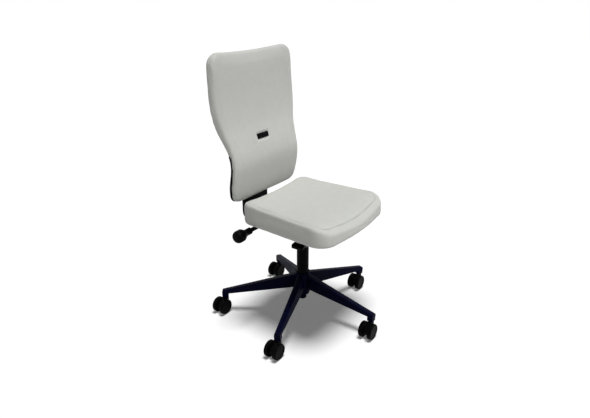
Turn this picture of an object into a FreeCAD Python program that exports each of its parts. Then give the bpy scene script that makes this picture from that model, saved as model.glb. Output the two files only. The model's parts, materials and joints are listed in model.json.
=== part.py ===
"""Office swivel chair on a five-star base with twin-wheel casters.

Frame: millimetres, +Z up, origin on the floor on the column axis.
The sitter faces -Y, so the sitter's right hand is at -X.
"""
import math
import os

import FreeCAD
import Part

V = FreeCAD.Vector

# Fits shared by mating pieces
RUN = 0.05          # radial running fit of pins, shafts and the piston
SLIDE = 0.04        # radial fit of the gas cylinder in its guide
SIDE_GAP = 1.5      # play between pieces that turn beside each other

# Casters
WHEEL_R = 32.5
WHEEL_IN = 9.5      # inner hub face of a wheel, from the caster's middle plane
WHEEL_OUT = 28.5    # rim face of a wheel, from the caster's middle plane
TRAIL = 25.0        # axle behind the stem
AXLE_R = 3.0
AXLE_END = 24.0
CASTER_WEB = WHEEL_IN - SIDE_GAP
CASTER_BOSS_R = WHEEL_IN - 0.5     # clear of the wheel rims
CASTER_TOP = 64.0
STEM_R = 5.5
STEM_TOP = 90.0
STEM_FOOT = 48.0
FLANGE_R = 9.0
FLANGE_T = 2.0
GROOVE_R = 4.5
GROOVE_Z = 82.0
GROOVE_T = 3.0

# Five-star base
ARMS = 5
STEM_CIRCLE = 330.0
FIRST_ARM = -90.0
ARM_HALF_LOW = 18.0
ARM_HALF_TOP = 13.5
ARM_EDGE = 5.0
ARM_TOP_HUB = 182.0     # height of the arm's top line carried to the axis
ARM_TOP_FALL = 0.248
ARM_LOW_HUB = 120.0
ARM_LOW_FALL = 0.115
ARM_WALL = 4.0          # the arms are open channels underneath
POST_HALF = 13.0
POST_LOW = CASTER_TOP + FLANGE_T + 0.5     # just above the stem's flange
TIP_ROUND = 7.0         # rounding over the end of an arm
TIP_HALF_TOP = POST_HALF - 2.0
SOCKET_TOP = 91.5
HUB_R = 31.0
HUB_TOP = 184.0
HUB_LOW_R = 35.0
HUB_LOW = 84.0

# Column
TUBE_R = 25.0
TUBE_WALL = 2.0
TUBE_TOP = 302.0
TAPER_TOP = 178.0
TAPER_LOW_R = 23.5
TUBE_LOW = HUB_LOW
TUBE_FLOOR = 4.0
CAP_R = 17.0
CAP_LOW = 58.0
BUSH_LOW = 228.0
CYL_R = 14.0
CYL_TIP_R = 13.2
CYL_LOW = 160.0
CYL_TOP = 400.0
CYL_CAP = 10.0
CHAMBER_R = 12.5
CHAMBER_TOP = 385.0
ROD_R = 5.0
ROD_NECK_R = 4.0
PISTON_LOW = 236.0
PISTON_T = 14.0
RACE_R = 14.0
RACE_T = 3.0
RACE_GAP = 0.1
PIN_R = 4.0
PIN_TOP = 408.0
PIN_LOW = 389.0

# Tilt mechanism
HOUSE_HALF = 55.0
HOUSE_WALL = 4.0
HOUSE_LOW = 362.0
HOUSE_FLOOR = 5.0
HOUSE_FRONT = -112.0
HOUSE_REAR = 72.0
HOUSE_TOP_FRONT = 424.0
HOUSE_TOP_REAR = 402.0
SOCKET_R = 22.0
SOCKET_END = 396.0
SHAFT_R = 6.0
MAIN_Y, MAIN_Z = 50.0, 392.0
FRONT_Y, FRONT_Z = -98.0, 411.0
LINK_Y, LINK_Z = 151.0, 404.0
LINK_PLAY = 2.6         # play of the link pin in the carrier's slots
SHAFT_END = 76.0
CLIP_R = 9.5
CLIP_T = 1.5
SPRING_IN = 9.0
SPRING_OUT = 16.5
SPRING_WIRE = 2.5

# Lift lever
LEVER_Y = -72.0
LEVER_T = 4.0
LEVER_Z = PIN_TOP + 0.3 + LEVER_T / 2.0
LEVER_HALF = 7.0
LEVER_PIVOT_X = -43.0
LEVER_PIN_R = 3.0
PADDLE_TIP = -205.0
PADDLE_ROOT = -148.0
PADDLE_REAR = -84.0
PADDLE_FRONT = -134.0
LEVER_KNEE = -HOUSE_HALF - 9.0     # where the bar starts to crank forward
LEVER_TAIL = PADDLE_ROOT - 20.0    # end of the bar inside the paddle

# Tension knob
KNOB_Y, KNOB_Z = 130.0, 404.0
STALK_R = 6.0
SLEEVE_R = 8.5          # the stalk's thicker stretch outside the carrier's arm
STALK_END = 82.0
KNOB_X = -247.0
KNOB_R = 25.0
NECK_END = -194.0
NECK_R = 13.0
COLLAR_R = 14.0
COLLAR_L = 15.0
NUT_HALF = 14.0
NUT_SIDE = 9.0

# Seat
PLATE_LOW = 430.0
PLATE_T = 4.0
PLATE_HALF = 105.0
PLATE_FRONT = -128.0
PLATE_WIDE_REAR = 110.0     # the plate narrows to a tongue behind this
EAR_T = 4.0
EAR_R = 12.0
LINK_EAR_FORE = EAR_R - 2.5   # the rear lugs pass close behind the tension shaft
FRONT_EAR_X = HOUSE_HALF + SIDE_GAP
PAN_LOW = PLATE_LOW + PLATE_T
PAN_T = 12.0
PAN_INSET = 28.5
SEAT_LOW = 437.0
SEAT_EDGE = 12.0        # rounding of the cushion's top edge
# Cushion outlines from the bottom up: height, rear and front half width, front corner, rear edge
SEAT_RINGS = [
    (SEAT_LOW, 199.0, 234.0, -247.0, 150.0),
    (446.0, 202.5, 237.5, -249.5, 154.0),
    (468.0, 204.0, 238.5, -250.5, 155.0),
    (492.0, 204.5, 238.0, -250.0, 155.5),
    (518.0, 204.5, 236.0, -247.0, 154.5),
    (555.0, 205.0, 233.0, -243.0, 153.0),
]
FRONT_BOW = 26.0        # how far the middle of the front edge stands ahead of its corners
FRONT_SWEEP = 900.0     # radius across the middle of the front edge
# Cushion top along the middle: depth position, height, rise towards the sides
SEAT_TOP = [
    (-310.0, 448.0, 2.0),
    (-268.0, 477.0, 2.0),
    (-246.0, 493.0, 4.0),
    (-215.0, 503.5, 8.0),
    (-165.0, 509.0, 10.0),
    (-80.0, 511.5, 11.0),
    (20.0, 513.5, 12.5),
    (110.0, 515.5, 15.0),
    (220.0, 519.0, 17.0),
]
ARM_HOLE_R = 4.0
ARM_HOLE_X = 165.0
ARM_HOLE_Y = (-60.0, 20.0)
ARM_HOLE_DEPTH = 9.0
SCREW_R = 3.0
SCREW_HEAD_R = 6.0
SCREW_HEAD = 4.0
SEAT_SCREW_X = 88.0
SEAT_SCREW_Y = (-100.0, 100.0)
SEAT_SCREW_IN = 8.0

# Back
# Height, half width, front face at the edges, hollow across the middle, thickness
BACK_RINGS = [
    (507.5, 166.0, 188.5, 4.0, 9.0),
    (511.5, 181.0, 184.0, 6.0, 18.0),
    (519.5, 194.0, 180.5, 8.0, 25.0),
    (537.0, 204.0, 176.5, 10.0, 29.0),
    (566.0, 210.0, 172.0, 11.5, 30.0),
    (600.0, 211.5, 167.0, 12.5, 30.0),
    (630.0, 210.0, 163.0, 13.0, 30.0),
    (662.0, 208.5, 162.5, 13.5, 30.0),
    (694.0, 209.0, 167.5, 14.5, 31.0),
    (724.0, 212.5, 175.5, 15.5, 34.0),
    (755.0, 220.0, 185.0, 16.0, 36.5),
    (787.0, 230.0, 194.5, 16.5, 38.0),
    (820.0, 239.0, 201.5, 17.0, 38.0),
    (860.0, 245.5, 207.5, 17.5, 38.0),
    (905.0, 248.0, 212.5, 18.0, 38.0),
    (960.0, 246.5, 216.5, 18.5, 38.0),
    (1012.0, 245.0, 219.5, 19.0, 38.0),
    (1043.0, 241.5, 222.0, 19.0, 37.0),
    (1061.0, 232.5, 225.0, 18.5, 32.5),
    (1072.0, 219.5, 229.0, 18.0, 25.0),
    (1078.0, 202.5, 235.0, 17.5, 12.0),
]
SIDE_BULGE = 0.8
BACK_DEEP = 38.0        # thickness for which the bulge and the edge roundings are given
FRONT_ROUND = 21.0      # rounding of the back's front edge
REAR_ROUND = 6.0        # rounding of its rear edge
PAD_FRONT_LOW = 21.0    # cushion in front of the shell, low down
PAD_FRONT_TOP = 24.0    # cushion in front of the shell, higher up
SHELL_TOP_T = 6.0       # shell behind the upper cushion
SHELL_INSET = 14.0      # cushion rim that wraps round the upper shell
UPRIGHT_TOP = 694.0     # top of the carrier's upright
WRAP_LOW = UPRIGHT_TOP - 9.0        # where the cushion starts to wrap round
WRAP_FULL = WRAP_LOW + 24.0
SHELL_TOP = BACK_RINGS[-1][0] - 28.0
REAR_PAD_LOW = WRAP_FULL - 6.0
TAG_Z = 743.0
TAG_HALF_X = 35.0
TAG_HALF_Z = 10.5
TAG_T = 4.0
TAG_PROUD = 1.2
TAG_LEAN = 17.0
TAG_PEG_R = 2.5
TAG_PEG_X = 22.0

# Back carrier
ARM_IN = HOUSE_HALF + 3.0
ARM_OUT = 70.0
UPRIGHT_HALF = 76.0
BOLT_LOW = 592.0        # lower pair of bolts through the upright
UPRIGHT_T = 14.0
UPRIGHT_FACE = 222.0    # plane where the shell is bolted on
CARRIER_START = LINK_Y + 25.0       # front end of the strip between the arms
CARRIER_MID = LINK_Z - 7.0          # height of the strip's flat part
CARRIER_REAR = UPRIGHT_FACE + 25.0  # strip's rise behind the seat
CARRIER_KNEE = 498.0
CARRIER_NECK = BOLT_LOW - 18.0
BOLT_X = 45.0
BOLT_Z = (BOLT_LOW, BOLT_LOW + 72.0)
BOSS_R = 12.0
BOLT_IN = 10.0


def save(name, shape):
    shape.exportStep("parts/" + name + ".step")


def cyl(radius, start, end):
    return Part.makeCylinder(radius, (end - start).Length, start, end - start)


def cone(low_radius, top_radius, low, top, x=0.0, y=0.0):
    return Part.makeCone(low_radius, top_radius, top - low, V(x, y, low), V(0, 0, 1))


def upright(radius, low, top, x=0.0, y=0.0):
    return cyl(radius, V(x, y, low), V(x, y, top))


def cross(radius, left, right, y, z):
    return cyl(radius, V(left, y, z), V(right, y, z))


def box(x0, x1, y0, y1, z0, z1):
    return Part.makeBox(x1 - x0, y1 - y0, z1 - z0, V(x0, y0, z0))


def rounded(points, radii, closed=True):
    """Edges of a polygon or path whose corners are rounded by tangent arcs."""
    count = len(points)
    ends = []
    for i, point in enumerate(points):
        radius = radii[i]
        inner = closed or 0 < i < count - 1
        if not inner or radius == 0:
            ends.append((point, None, point))
            continue
        before = (points[i - 1] - point).normalize()
        after = (points[(i + 1) % count] - point).normalize()
        half = before.getAngle(after) / 2.0
        reach = radius / math.tan(half)
        middle = (before + after).normalize()
        near = point + middle * (radius / math.sin(half) - radius)
        ends.append((point + before * reach, near, point + after * reach))
    edges = []
    for i, (start, near, stop) in enumerate(ends):
        if near is not None:
            edges.append(Part.Arc(start, near, stop).toShape())
        if closed or i < count - 1:
            following = ends[(i + 1) % count][0]
            if (following - stop).Length > 1e-6:
                edges.append(Part.makeLine(stop, following))
    return edges


def face(points, radii=None):
    radii = radii or [0] * len(points)
    return Part.Face(Part.Wire(rounded(points, radii)))


def band_face(path, thickness, bend, place):
    """Face of a bent strip: a centre line of (a, b) points thickened on both sides."""
    sides = []
    for sign in (1, -1):
        side = []
        radii = []
        for i, (a, b) in enumerate(path):
            normals = []
            for j in (i - 1, i):
                if 0 <= j < len(path) - 1:
                    da = path[j + 1][0] - path[j][0]
                    db = path[j + 1][1] - path[j][1]
                    size = math.hypot(da, db)
                    normals.append((-db / size, da / size))
            na = sum(n[0] for n in normals)
            nb = sum(n[1] for n in normals)
            scale = sign * thickness / 2.0 * 2.0 / (na * na + nb * nb)
            if len(normals) == 1:
                scale = sign * thickness / 2.0
                radii.append(0)
            else:
                turn = normals[0][0] * normals[1][1] - normals[0][1] * normals[1][0]
                radii.append(bend - math.copysign(thickness / 2.0, turn * sign))
            side.append(place(a + na * scale, b + nb * scale))
        sides.append((side, radii))
    points = sides[0][0] + sides[1][0][::-1]
    radii = sides[0][1] + sides[1][1][::-1]
    return face(points, radii)


def loft(wires):
    return Part.makeLoft(wires, True, False)


def mirror_x(shape):
    return shape.mirror(V(0, 0, 0), V(1, 0, 0))


def both(shape):
    return [shape, mirror_x(shape)]


def fuse(shapes):
    return shapes[0].multiFuse(shapes[1:]).removeSplitter()


def group(shapes):
    return Part.makeCompound(shapes)


def arm_tops():
    """Angle and stem position of every base arm."""
    spots = []
    for i in range(ARMS):
        angle = FIRST_ARM + 360.0 / ARMS * i
        turn = math.radians(angle)
        spots.append((angle, STEM_CIRCLE * math.cos(turn), STEM_CIRCLE * math.sin(turn)))
    return spots


def arm_section(reach, wall=0.0):
    """Section of an arm, which narrows from the hub to the width of its post."""
    low = ARM_LOW_HUB - ARM_LOW_FALL * reach - 2.0 * wall
    top = ARM_TOP_HUB - ARM_TOP_FALL * reach - wall
    share = reach / (STEM_CIRCLE + POST_HALF)
    half_low = ARM_HALF_LOW + (POST_HALF - ARM_HALF_LOW) * share - wall
    half_top = ARM_HALF_TOP + (TIP_HALF_TOP - ARM_HALF_TOP) * share - wall
    corners = [
        V(reach, -half_low, low),
        V(reach, half_low, low),
        V(reach, half_top, top),
        V(reach, -half_top, top),
    ]
    edge = ARM_EDGE - wall / 2.0
    return Part.Wire(rounded(corners, [2.0, 2.0, edge, edge]))


def arm_tip_tool(end):
    """What is cut away so that an arm's top rolls over into its end face."""
    x = end - TIP_ROUND
    steep = math.hypot(1.0, ARM_TOP_FALL)
    z = ARM_TOP_HUB - ARM_TOP_FALL * x - TIP_ROUND * steep
    block = box(x + TIP_ROUND * ARM_TOP_FALL / steep, end + 1.0, -30.0, 30.0, z, z + 3.0 * TIP_ROUND)
    return block.cut(cyl(TIP_ROUND, V(x, -30.0, z), V(x, 30.0, z)))


def star_base():
    end = STEM_CIRCLE + POST_HALF
    arm = Part.makeLoft([arm_section(10.0), arm_section(end)], True, True)
    arm = arm.cut(arm_tip_tool(end))
    foot = [
        V(STEM_CIRCLE - POST_HALF, -POST_HALF, POST_LOW),
        V(end, -POST_HALF, POST_LOW),
        V(end, POST_HALF, POST_LOW),
        V(STEM_CIRCLE - POST_HALF, POST_HALF, POST_LOW),
    ]
    post = face(foot, [3.5] * 4).extrude(V(0, 0, 20.0))
    channel_end = STEM_CIRCLE - POST_HALF - ARM_WALL
    inner, outer = arm_section(HUB_LOW_R + ARM_WALL, ARM_WALL), arm_section(channel_end, ARM_WALL)
    channel = Part.makeLoft([inner, outer], True, True)
    arm = arm.fuse(post).cut(channel)
    hub = cone(HUB_LOW_R - 6.0, HUB_LOW_R, HUB_LOW, HUB_LOW + 22.0)
    hub = hub.fuse(cone(HUB_LOW_R, HUB_R, HUB_LOW + 22.0, HUB_TOP))
    pieces = [hub]
    for angle, x, y in arm_tops():
        pieces.append(arm.rotated(V(0, 0, 0), V(0, 0, 1), angle))
    body = fuse(pieces)
    body = body.cut(cone(TAPER_LOW_R, TUBE_R, HUB_LOW, TAPER_TOP))
    body = body.cut(upright(TUBE_R, TAPER_TOP, HUB_TOP + 10.0))
    for angle, x, y in arm_tops():
        body = body.cut(upright(STEM_R + RUN, POST_LOW, SOCKET_TOP, x, y))
    return body.removeSplitter()


def column_tube():
    body = cone(TAPER_LOW_R, TUBE_R, TUBE_LOW, TAPER_TOP)
    body = body.fuse(upright(TUBE_R, TAPER_TOP, TUBE_TOP))
    hollow = upright(TUBE_R - TUBE_WALL, TAPER_TOP, TUBE_TOP)
    low = cone(TAPER_LOW_R - TUBE_WALL, TUBE_R - TUBE_WALL, TUBE_LOW + TUBE_FLOOR, TAPER_TOP)
    neck = upright(ROD_NECK_R + RUN, TUBE_LOW, TUBE_LOW + TUBE_FLOOR)
    return body.cut(hollow).cut(low).cut(neck).removeSplitter()


def column_guide_bush():
    ring = upright(TUBE_R - TUBE_WALL, BUSH_LOW, TUBE_TOP - 1.0)
    return ring.cut(upright(CYL_R + SLIDE, BUSH_LOW, TUBE_TOP - 1.0))


RACE_LOW = TUBE_LOW + TUBE_FLOOR
ROD_SHOULDER = RACE_LOW + 2.0 * RACE_T + RACE_GAP
ROD_CLIP_Z = TUBE_LOW - 0.4 - CLIP_T


def race(low, bore):
    return upright(RACE_R, low, low + RACE_T).cut(upright(bore, low, low + RACE_T))


def piston_rod():
    rod = upright(ROD_NECK_R, ROD_CLIP_Z - 3.0, ROD_SHOULDER)
    rod = rod.fuse(upright(RACE_R - 4.0, ROD_SHOULDER, ROD_SHOULDER + 4.0))
    rod = rod.fuse(upright(ROD_R, ROD_SHOULDER + 4.0, PISTON_LOW))
    rod = rod.fuse(upright(CHAMBER_R - RUN, PISTON_LOW, PISTON_LOW + PISTON_T))
    groove = upright(ROD_NECK_R, ROD_CLIP_Z, ROD_CLIP_Z + CLIP_T)
    groove = groove.cut(upright(ROD_NECK_R - 1.0, ROD_CLIP_Z, ROD_CLIP_Z + CLIP_T))
    return rod.cut(groove).removeSplitter()


def rod_clip():
    ring = upright(CLIP_R, ROD_CLIP_Z, ROD_CLIP_Z + CLIP_T)
    ring = ring.cut(upright(ROD_NECK_R - 1.0, ROD_CLIP_Z, ROD_CLIP_Z + CLIP_T))
    return ring.cut(box(0, 20, -2.2, 2.2, ROD_CLIP_Z, ROD_CLIP_Z + CLIP_T))


def column_end_cap():
    cap = upright(CAP_R, CAP_LOW, TUBE_LOW)
    rim = cap.Edges[0]
    for edge in cap.Edges:
        if edge.BoundBox.ZMax < CAP_LOW + 0.1:
            rim = edge
    cap = cap.makeFillet(3.0, [rim])
    return cap.cut(upright(CAP_R - 3.0, CAP_LOW + 3.0, TUBE_LOW))


def gas_cylinder():
    body = upright(CYL_R, CYL_LOW, HOUSE_LOW)
    body = body.fuse(cone(CYL_R, CYL_TIP_R, HOUSE_LOW, CYL_TOP))
    body = body.cut(upright(CHAMBER_R, CYL_LOW + CYL_CAP, HOUSE_LOW))
    body = body.cut(cone(CHAMBER_R, CHAMBER_R - 2.0, HOUSE_LOW, CHAMBER_TOP))
    body = body.cut(upright(ROD_R + RUN, CYL_LOW, CYL_LOW + CYL_CAP))
    body = body.cut(upright(PIN_R + RUN, CHAMBER_TOP, CYL_TOP))
    return body.removeSplitter()


def release_pin():
    pin = upright(PIN_R, PIN_LOW, PIN_TOP)
    top = [e for e in pin.Edges if e.BoundBox.ZMin > PIN_TOP - 0.1]
    return pin.makeFillet(1.5, top[:1])


def mechanism_housing():
    side = [
        V(0, HOUSE_FRONT, HOUSE_LOW + 20.0),
        V(0, HOUSE_FRONT + 18.0, HOUSE_LOW),
        V(0, HOUSE_REAR - 20.0, HOUSE_LOW),
        V(0, HOUSE_REAR, HOUSE_LOW + 16.0),
        V(0, HOUSE_REAR, HOUSE_TOP_REAR),
        V(0, HOUSE_FRONT, HOUSE_TOP_FRONT),
    ]
    outer = face(side, [6.0, 10.0, 10.0, 6.0, 3.0, 3.0]).extrude(V(2 * HOUSE_HALF, 0, 0))
    outer.translate(V(-HOUSE_HALF, 0, 0))
    low_edges = []
    for edge in outer.Edges:
        bounds = edge.BoundBox
        flat = bounds.XLength < 0.01
        if flat and bounds.ZMax < HOUSE_LOW + 20.5:
            low_edges.append(edge)
    outer = outer.makeFillet(5.0, low_edges)
    wall = HOUSE_WALL
    inside = [
        V(0, HOUSE_FRONT + wall, HOUSE_LOW + 22.0),
        V(0, HOUSE_FRONT + 20.0, HOUSE_LOW + HOUSE_FLOOR),
        V(0, HOUSE_REAR - 22.0, HOUSE_LOW + HOUSE_FLOOR),
        V(0, HOUSE_REAR - wall, HOUSE_LOW + 18.0),
        V(0, HOUSE_REAR - wall, HOUSE_TOP_FRONT + 20.0),
        V(0, HOUSE_FRONT + wall, HOUSE_TOP_FRONT + 20.0),
    ]
    hollow = face(inside, [4.0, 6.0, 6.0, 4.0, 0, 0]).extrude(V(2 * (HOUSE_HALF - wall), 0, 0))
    hollow.translate(V(-HOUSE_HALF + wall, 0, 0))
    body = outer.cut(hollow)
    body = body.fuse(upright(SOCKET_R, HOUSE_LOW + 1.0, SOCKET_END))
    for start in lug_starts():
        body = body.fuse(lever_lug(start))
    tip = cone(CYL_R, CYL_TIP_R, HOUSE_LOW, CYL_TOP)
    body = body.cut(tip)
    for y, z in ((MAIN_Y, MAIN_Z), (FRONT_Y, FRONT_Z)):
        body = body.cut(cross(SHAFT_R, -HOUSE_HALF - 5.0, HOUSE_HALF + 5.0, y, z))
    span = LEVER_HALF + 4.0
    slot = box(-HOUSE_HALF - 5.0, -HOUSE_HALF + wall + 1.0, LEVER_Y - span, LEVER_Y + span,
               LEVER_Z - 6.5, LEVER_Z + 6.5)
    body = body.cut(slot)
    body = body.cut(lever_pin())
    notch = box(-20.0, 20.0, HOUSE_REAR - 8.0, HOUSE_REAR + 5.0, MAIN_Z + 4.0, HOUSE_TOP_FRONT)
    return body.cut(notch).removeSplitter()


LUG_T = 5.0
LUG_GAP = LEVER_HALF + 1.0


def lug_starts():
    return (LEVER_Y - LUG_GAP - LUG_T, LEVER_Y + LUG_GAP)


def lever_lug(start):
    """Lug on the housing floor that carries one end of the lever's pivot."""
    x = LEVER_PIVOT_X
    corners = [
        V(x - 7.0, start, HOUSE_LOW + 2.0),
        V(x + 7.0, start, HOUSE_LOW + 2.0),
        V(x + 6.0, start, LEVER_Z + 6.0),
        V(x - 6.0, start, LEVER_Z + 6.0),
    ]
    return face(corners, [0, 0, 5.0, 5.0]).extrude(V(0, LUG_T, 0))


def lever_pin():
    half = LUG_GAP + LUG_T
    return cyl(LEVER_PIN_R, V(LEVER_PIVOT_X, LEVER_Y - half, LEVER_Z),
               V(LEVER_PIVOT_X, LEVER_Y + half, LEVER_Z))


def shaft(y, z):
    body = cross(SHAFT_R, -SHAFT_END, SHAFT_END, y, z)
    for clip in shaft_clip_rings(y, z):
        body = body.cut(clip)
    return body


def shaft_clip_rings(y, z):
    rings = []
    for left in (-SHAFT_END + 1.5, SHAFT_END - 1.5 - CLIP_T):
        ring = cross(CLIP_R, left, left + CLIP_T, y, z)
        ring = ring.cut(cross(SHAFT_R - 1.0, left, left + CLIP_T, y, z))
        gap = box(left, left + CLIP_T, y - 3.0, y + 3.0, z - 20.0, z)
        rings.append(ring.cut(gap))
    return rings


def tension_spring():
    """Double torsion spring: two coil packs on the main shaft, outer legs and a middle loop."""
    wire = SPRING_WIRE
    pieces = []
    middle = (SPRING_IN + SPRING_OUT) / 2.0
    loop_z = KNOB_Z - NUT_SIDE - wire - 2.2
    foot_z = HOUSE_LOW + HOUSE_FLOOR + wire + 0.3
    for sign in (-1, 1):
        near, far = sign * 7.0, sign * 46.0
        pack = cross(SPRING_OUT, near, far, MAIN_Y, MAIN_Z)
        pieces.append(pack.cut(cross(SPRING_IN, near, far, MAIN_Y, MAIN_Z)))
        loop_x = sign * 11.5
        start = V(loop_x, MAIN_Y, MAIN_Z + middle)
        stop = V(loop_x, KNOB_Y, loop_z)
        pieces.append(cyl(wire, start, stop))
        leg = sign * 41.5
        pieces.append(cyl(wire, V(leg, MAIN_Y, MAIN_Z - middle), V(leg, MAIN_Y - 80.0, foot_z)))
    pieces.append(cross(wire + 0.2, -17.0, 17.0, KNOB_Y, loop_z))
    return fuse(pieces)


def lever_side(y):
    """Side view of the lever bar, lifted where it leaves the housing."""
    path = [(LEVER_HALF + 5.0, LEVER_Z), (LEVER_KNEE, LEVER_Z),
            (PADDLE_ROOT + 18.0, LEVER_Z + 5.0), (LEVER_TAIL - 4.0, LEVER_Z + 1.0)]
    return band_face(path, LEVER_T, 30.0, lambda a, b: V(a, y, b))


PADDLE_MID = (PADDLE_REAR + PADDLE_FRONT) / 2.0


def lever_plan():
    """Plan of the lever bar: a cranked arm from over the release pin out to the paddle."""
    half = LEVER_HALF
    z = LEVER_Z - 40.0
    corners = [
        V(-half, half, z), V(half, half, z), V(half, LEVER_Y - half, z),
        V(LEVER_KNEE - 2.0, LEVER_Y - half, z),
        V(PADDLE_ROOT + 2.0, PADDLE_MID - half, z), V(LEVER_TAIL, PADDLE_MID - half, z),
        V(LEVER_TAIL, PADDLE_MID + half, z), V(PADDLE_ROOT + 6.0, PADDLE_MID + half, z),
        V(LEVER_KNEE, LEVER_Y + half, z), V(-half, LEVER_Y + half, z),
    ]
    return face(corners, [4, 4, 6, 20, 20, 3, 3, 20, 20, 4]).extrude(V(0, 0, 80.0))


def lift_lever():
    side = lever_side(-200.0).extrude(V(0, 300.0, 0))
    bar = side.common(lever_plan())
    hub = cyl(LEVER_PIN_R + 3.0, V(LEVER_PIVOT_X, LEVER_Y - LEVER_HALF, LEVER_Z),
              V(LEVER_PIVOT_X, LEVER_Y + LEVER_HALF, LEVER_Z))
    bore = cyl(LEVER_PIN_R + RUN, V(LEVER_PIVOT_X, LEVER_Y - 20.0, LEVER_Z),
               V(LEVER_PIVOT_X, LEVER_Y + 20.0, LEVER_Z))
    return bar.fuse(hub).cut(bore).removeSplitter()


def lever_paddle():
    plan = [
        V(PADDLE_ROOT, PADDLE_MID + 13.0, 300.0),
        V(PADDLE_TIP + 20.0, PADDLE_REAR, 300.0),
        V(PADDLE_TIP, PADDLE_REAR, 300.0),
        V(PADDLE_TIP, PADDLE_FRONT, 300.0),
        V(PADDLE_TIP + 20.0, PADDLE_FRONT, 300.0),
        V(PADDLE_ROOT, PADDLE_MID - 13.0, 300.0),
    ]
    outline = face(plan, [5.0, 12.0, 8.0, 8.0, 12.0, 5.0]).extrude(V(0, 0, 200.0))
    path = [(PADDLE_ROOT, LEVER_Z + 3.4), (LEVER_TAIL - 8.0, LEVER_Z + 0.8),
            (PADDLE_TIP, LEVER_Z - 6.0)]
    side = band_face(path, 10.0, 40.0, lambda a, b: V(a, -200.0, b)).extrude(V(0, 300.0, 0))
    grip = outline.common(side)
    return grip.cut(lift_lever())


def tension_shaft():
    body = cross(STALK_R, KNOB_X + 4.0, STALK_END, KNOB_Y, KNOB_Z)
    sleeve = cross(SLEEVE_R, NECK_END + COLLAR_L, -ARM_OUT - SIDE_GAP, KNOB_Y, KNOB_Z)
    return body.fuse(sleeve).removeSplitter()


def tension_collar():
    ring = cross(COLLAR_R, NECK_END, NECK_END + COLLAR_L, KNOB_Y, KNOB_Z)
    rims = [e for e in ring.Edges if e.BoundBox.XLength < 0.01]
    ring = ring.makeFillet(2.0, rims)
    return ring.cut(cross(STALK_R, NECK_END, NECK_END + COLLAR_L, KNOB_Y, KNOB_Z))


def tension_knob():
    tip = KNOB_X - KNOB_R + 4.0
    profile = [
        V(tip, KNOB_Y, KNOB_Z),
        V(tip, KNOB_Y, KNOB_Z + KNOB_R),
        V(KNOB_X + KNOB_R * 0.62, KNOB_Y, KNOB_Z + KNOB_R),
        V(KNOB_X + KNOB_R + 10.0, KNOB_Y, KNOB_Z + NECK_R + 1.5),
        V(NECK_END, KNOB_Y, KNOB_Z + NECK_R),
        V(NECK_END, KNOB_Y, KNOB_Z),
    ]
    shape = face(profile, [0, 17.0, 11.0, 14.0, 1.0, 0])
    knob = shape.revolve(V(0, KNOB_Y, KNOB_Z), V(1, 0, 0), 360.0)
    return knob.cut(tension_shaft())


def tension_nut():
    block = box(-NUT_HALF, NUT_HALF, KNOB_Y - NUT_SIDE, KNOB_Y + NUT_SIDE,
                KNOB_Z - NUT_SIDE, KNOB_Z + NUT_SIDE)
    along = [e for e in block.Edges if e.BoundBox.XLength > NUT_HALF]
    block = block.makeFillet(2.0, along)
    return block.cut(cross(STALK_R + RUN, -NUT_HALF, NUT_HALF, KNOB_Y, KNOB_Z))


def ear(x, y, z, fore):
    """Lug hanging from the seat plate round a cross pin, fore being its reach in front of the pin."""
    corners = [
        V(x, y - fore - 3.0, PLATE_LOW + 1.0),
        V(x, y - fore, z - EAR_R),
        V(x, y + EAR_R, z - EAR_R),
        V(x, y + EAR_R + 3.0, PLATE_LOW + 1.0),
    ]
    return face(corners, [0, fore - 1.0, EAR_R - 1.0, 0]).extrude(V(EAR_T, 0, 0))


LINK_EAR_X = ARM_IN - SIDE_GAP - EAR_T
LINK_END = ARM_OUT + 5.0
TONGUE_HALF = LINK_EAR_X + EAR_T + 6.0
TONGUE_REAR = LINK_Y + EAR_R + 6.0
TONGUE_ROOT = LINK_Y - EAR_R - 4.0


def seat_plate():
    corners = [
        V(-PLATE_HALF, PLATE_FRONT, PLATE_LOW),
        V(PLATE_HALF, PLATE_FRONT, PLATE_LOW),
        V(PLATE_HALF, PLATE_WIDE_REAR, PLATE_LOW),
        V(TONGUE_HALF, TONGUE_ROOT, PLATE_LOW),
        V(TONGUE_HALF, TONGUE_REAR, PLATE_LOW),
        V(-TONGUE_HALF, TONGUE_REAR, PLATE_LOW),
        V(-TONGUE_HALF, TONGUE_ROOT, PLATE_LOW),
        V(-PLATE_HALF, PLATE_WIDE_REAR, PLATE_LOW),
    ]
    radii = [25.0, 25.0, 12.0, 8.0, 8.0, 8.0, 8.0, 12.0]
    body = face(corners, radii).extrude(V(0, 0, PLATE_T))
    pieces = [body]
    pieces += both(ear(FRONT_EAR_X, FRONT_Y, FRONT_Z, EAR_R))
    pieces += both(ear(LINK_EAR_X, LINK_Y, LINK_Z, LINK_EAR_FORE))
    body = fuse(pieces)
    body = body.cut(cross(SHAFT_R + RUN, -100.0, 100.0, FRONT_Y, FRONT_Z))
    body = body.cut(cross(SHAFT_R, -100.0, 100.0, LINK_Y, LINK_Z))
    for x, y in seat_screw_spots():
        body = body.cut(upright(SCREW_R, PLATE_LOW - 1.0, PAN_LOW + 1.0, x, y))
    return body.removeSplitter()


def seat_screw_spots():
    return [(x, y) for x in (-SEAT_SCREW_X, SEAT_SCREW_X) for y in SEAT_SCREW_Y]


def seat_outline(z, rear_half, front_half, corner_y, rear_y, rear_r, front_r):
    corners = [
        V(rear_half, rear_y, z),
        V(front_half, corner_y, z),
        V(0, corner_y - FRONT_BOW, z),
        V(-front_half, corner_y, z),
        V(-rear_half, rear_y, z),
    ]
    return Part.Wire(rounded(corners, [rear_r, front_r, FRONT_SWEEP, front_r, rear_r]))


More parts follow.
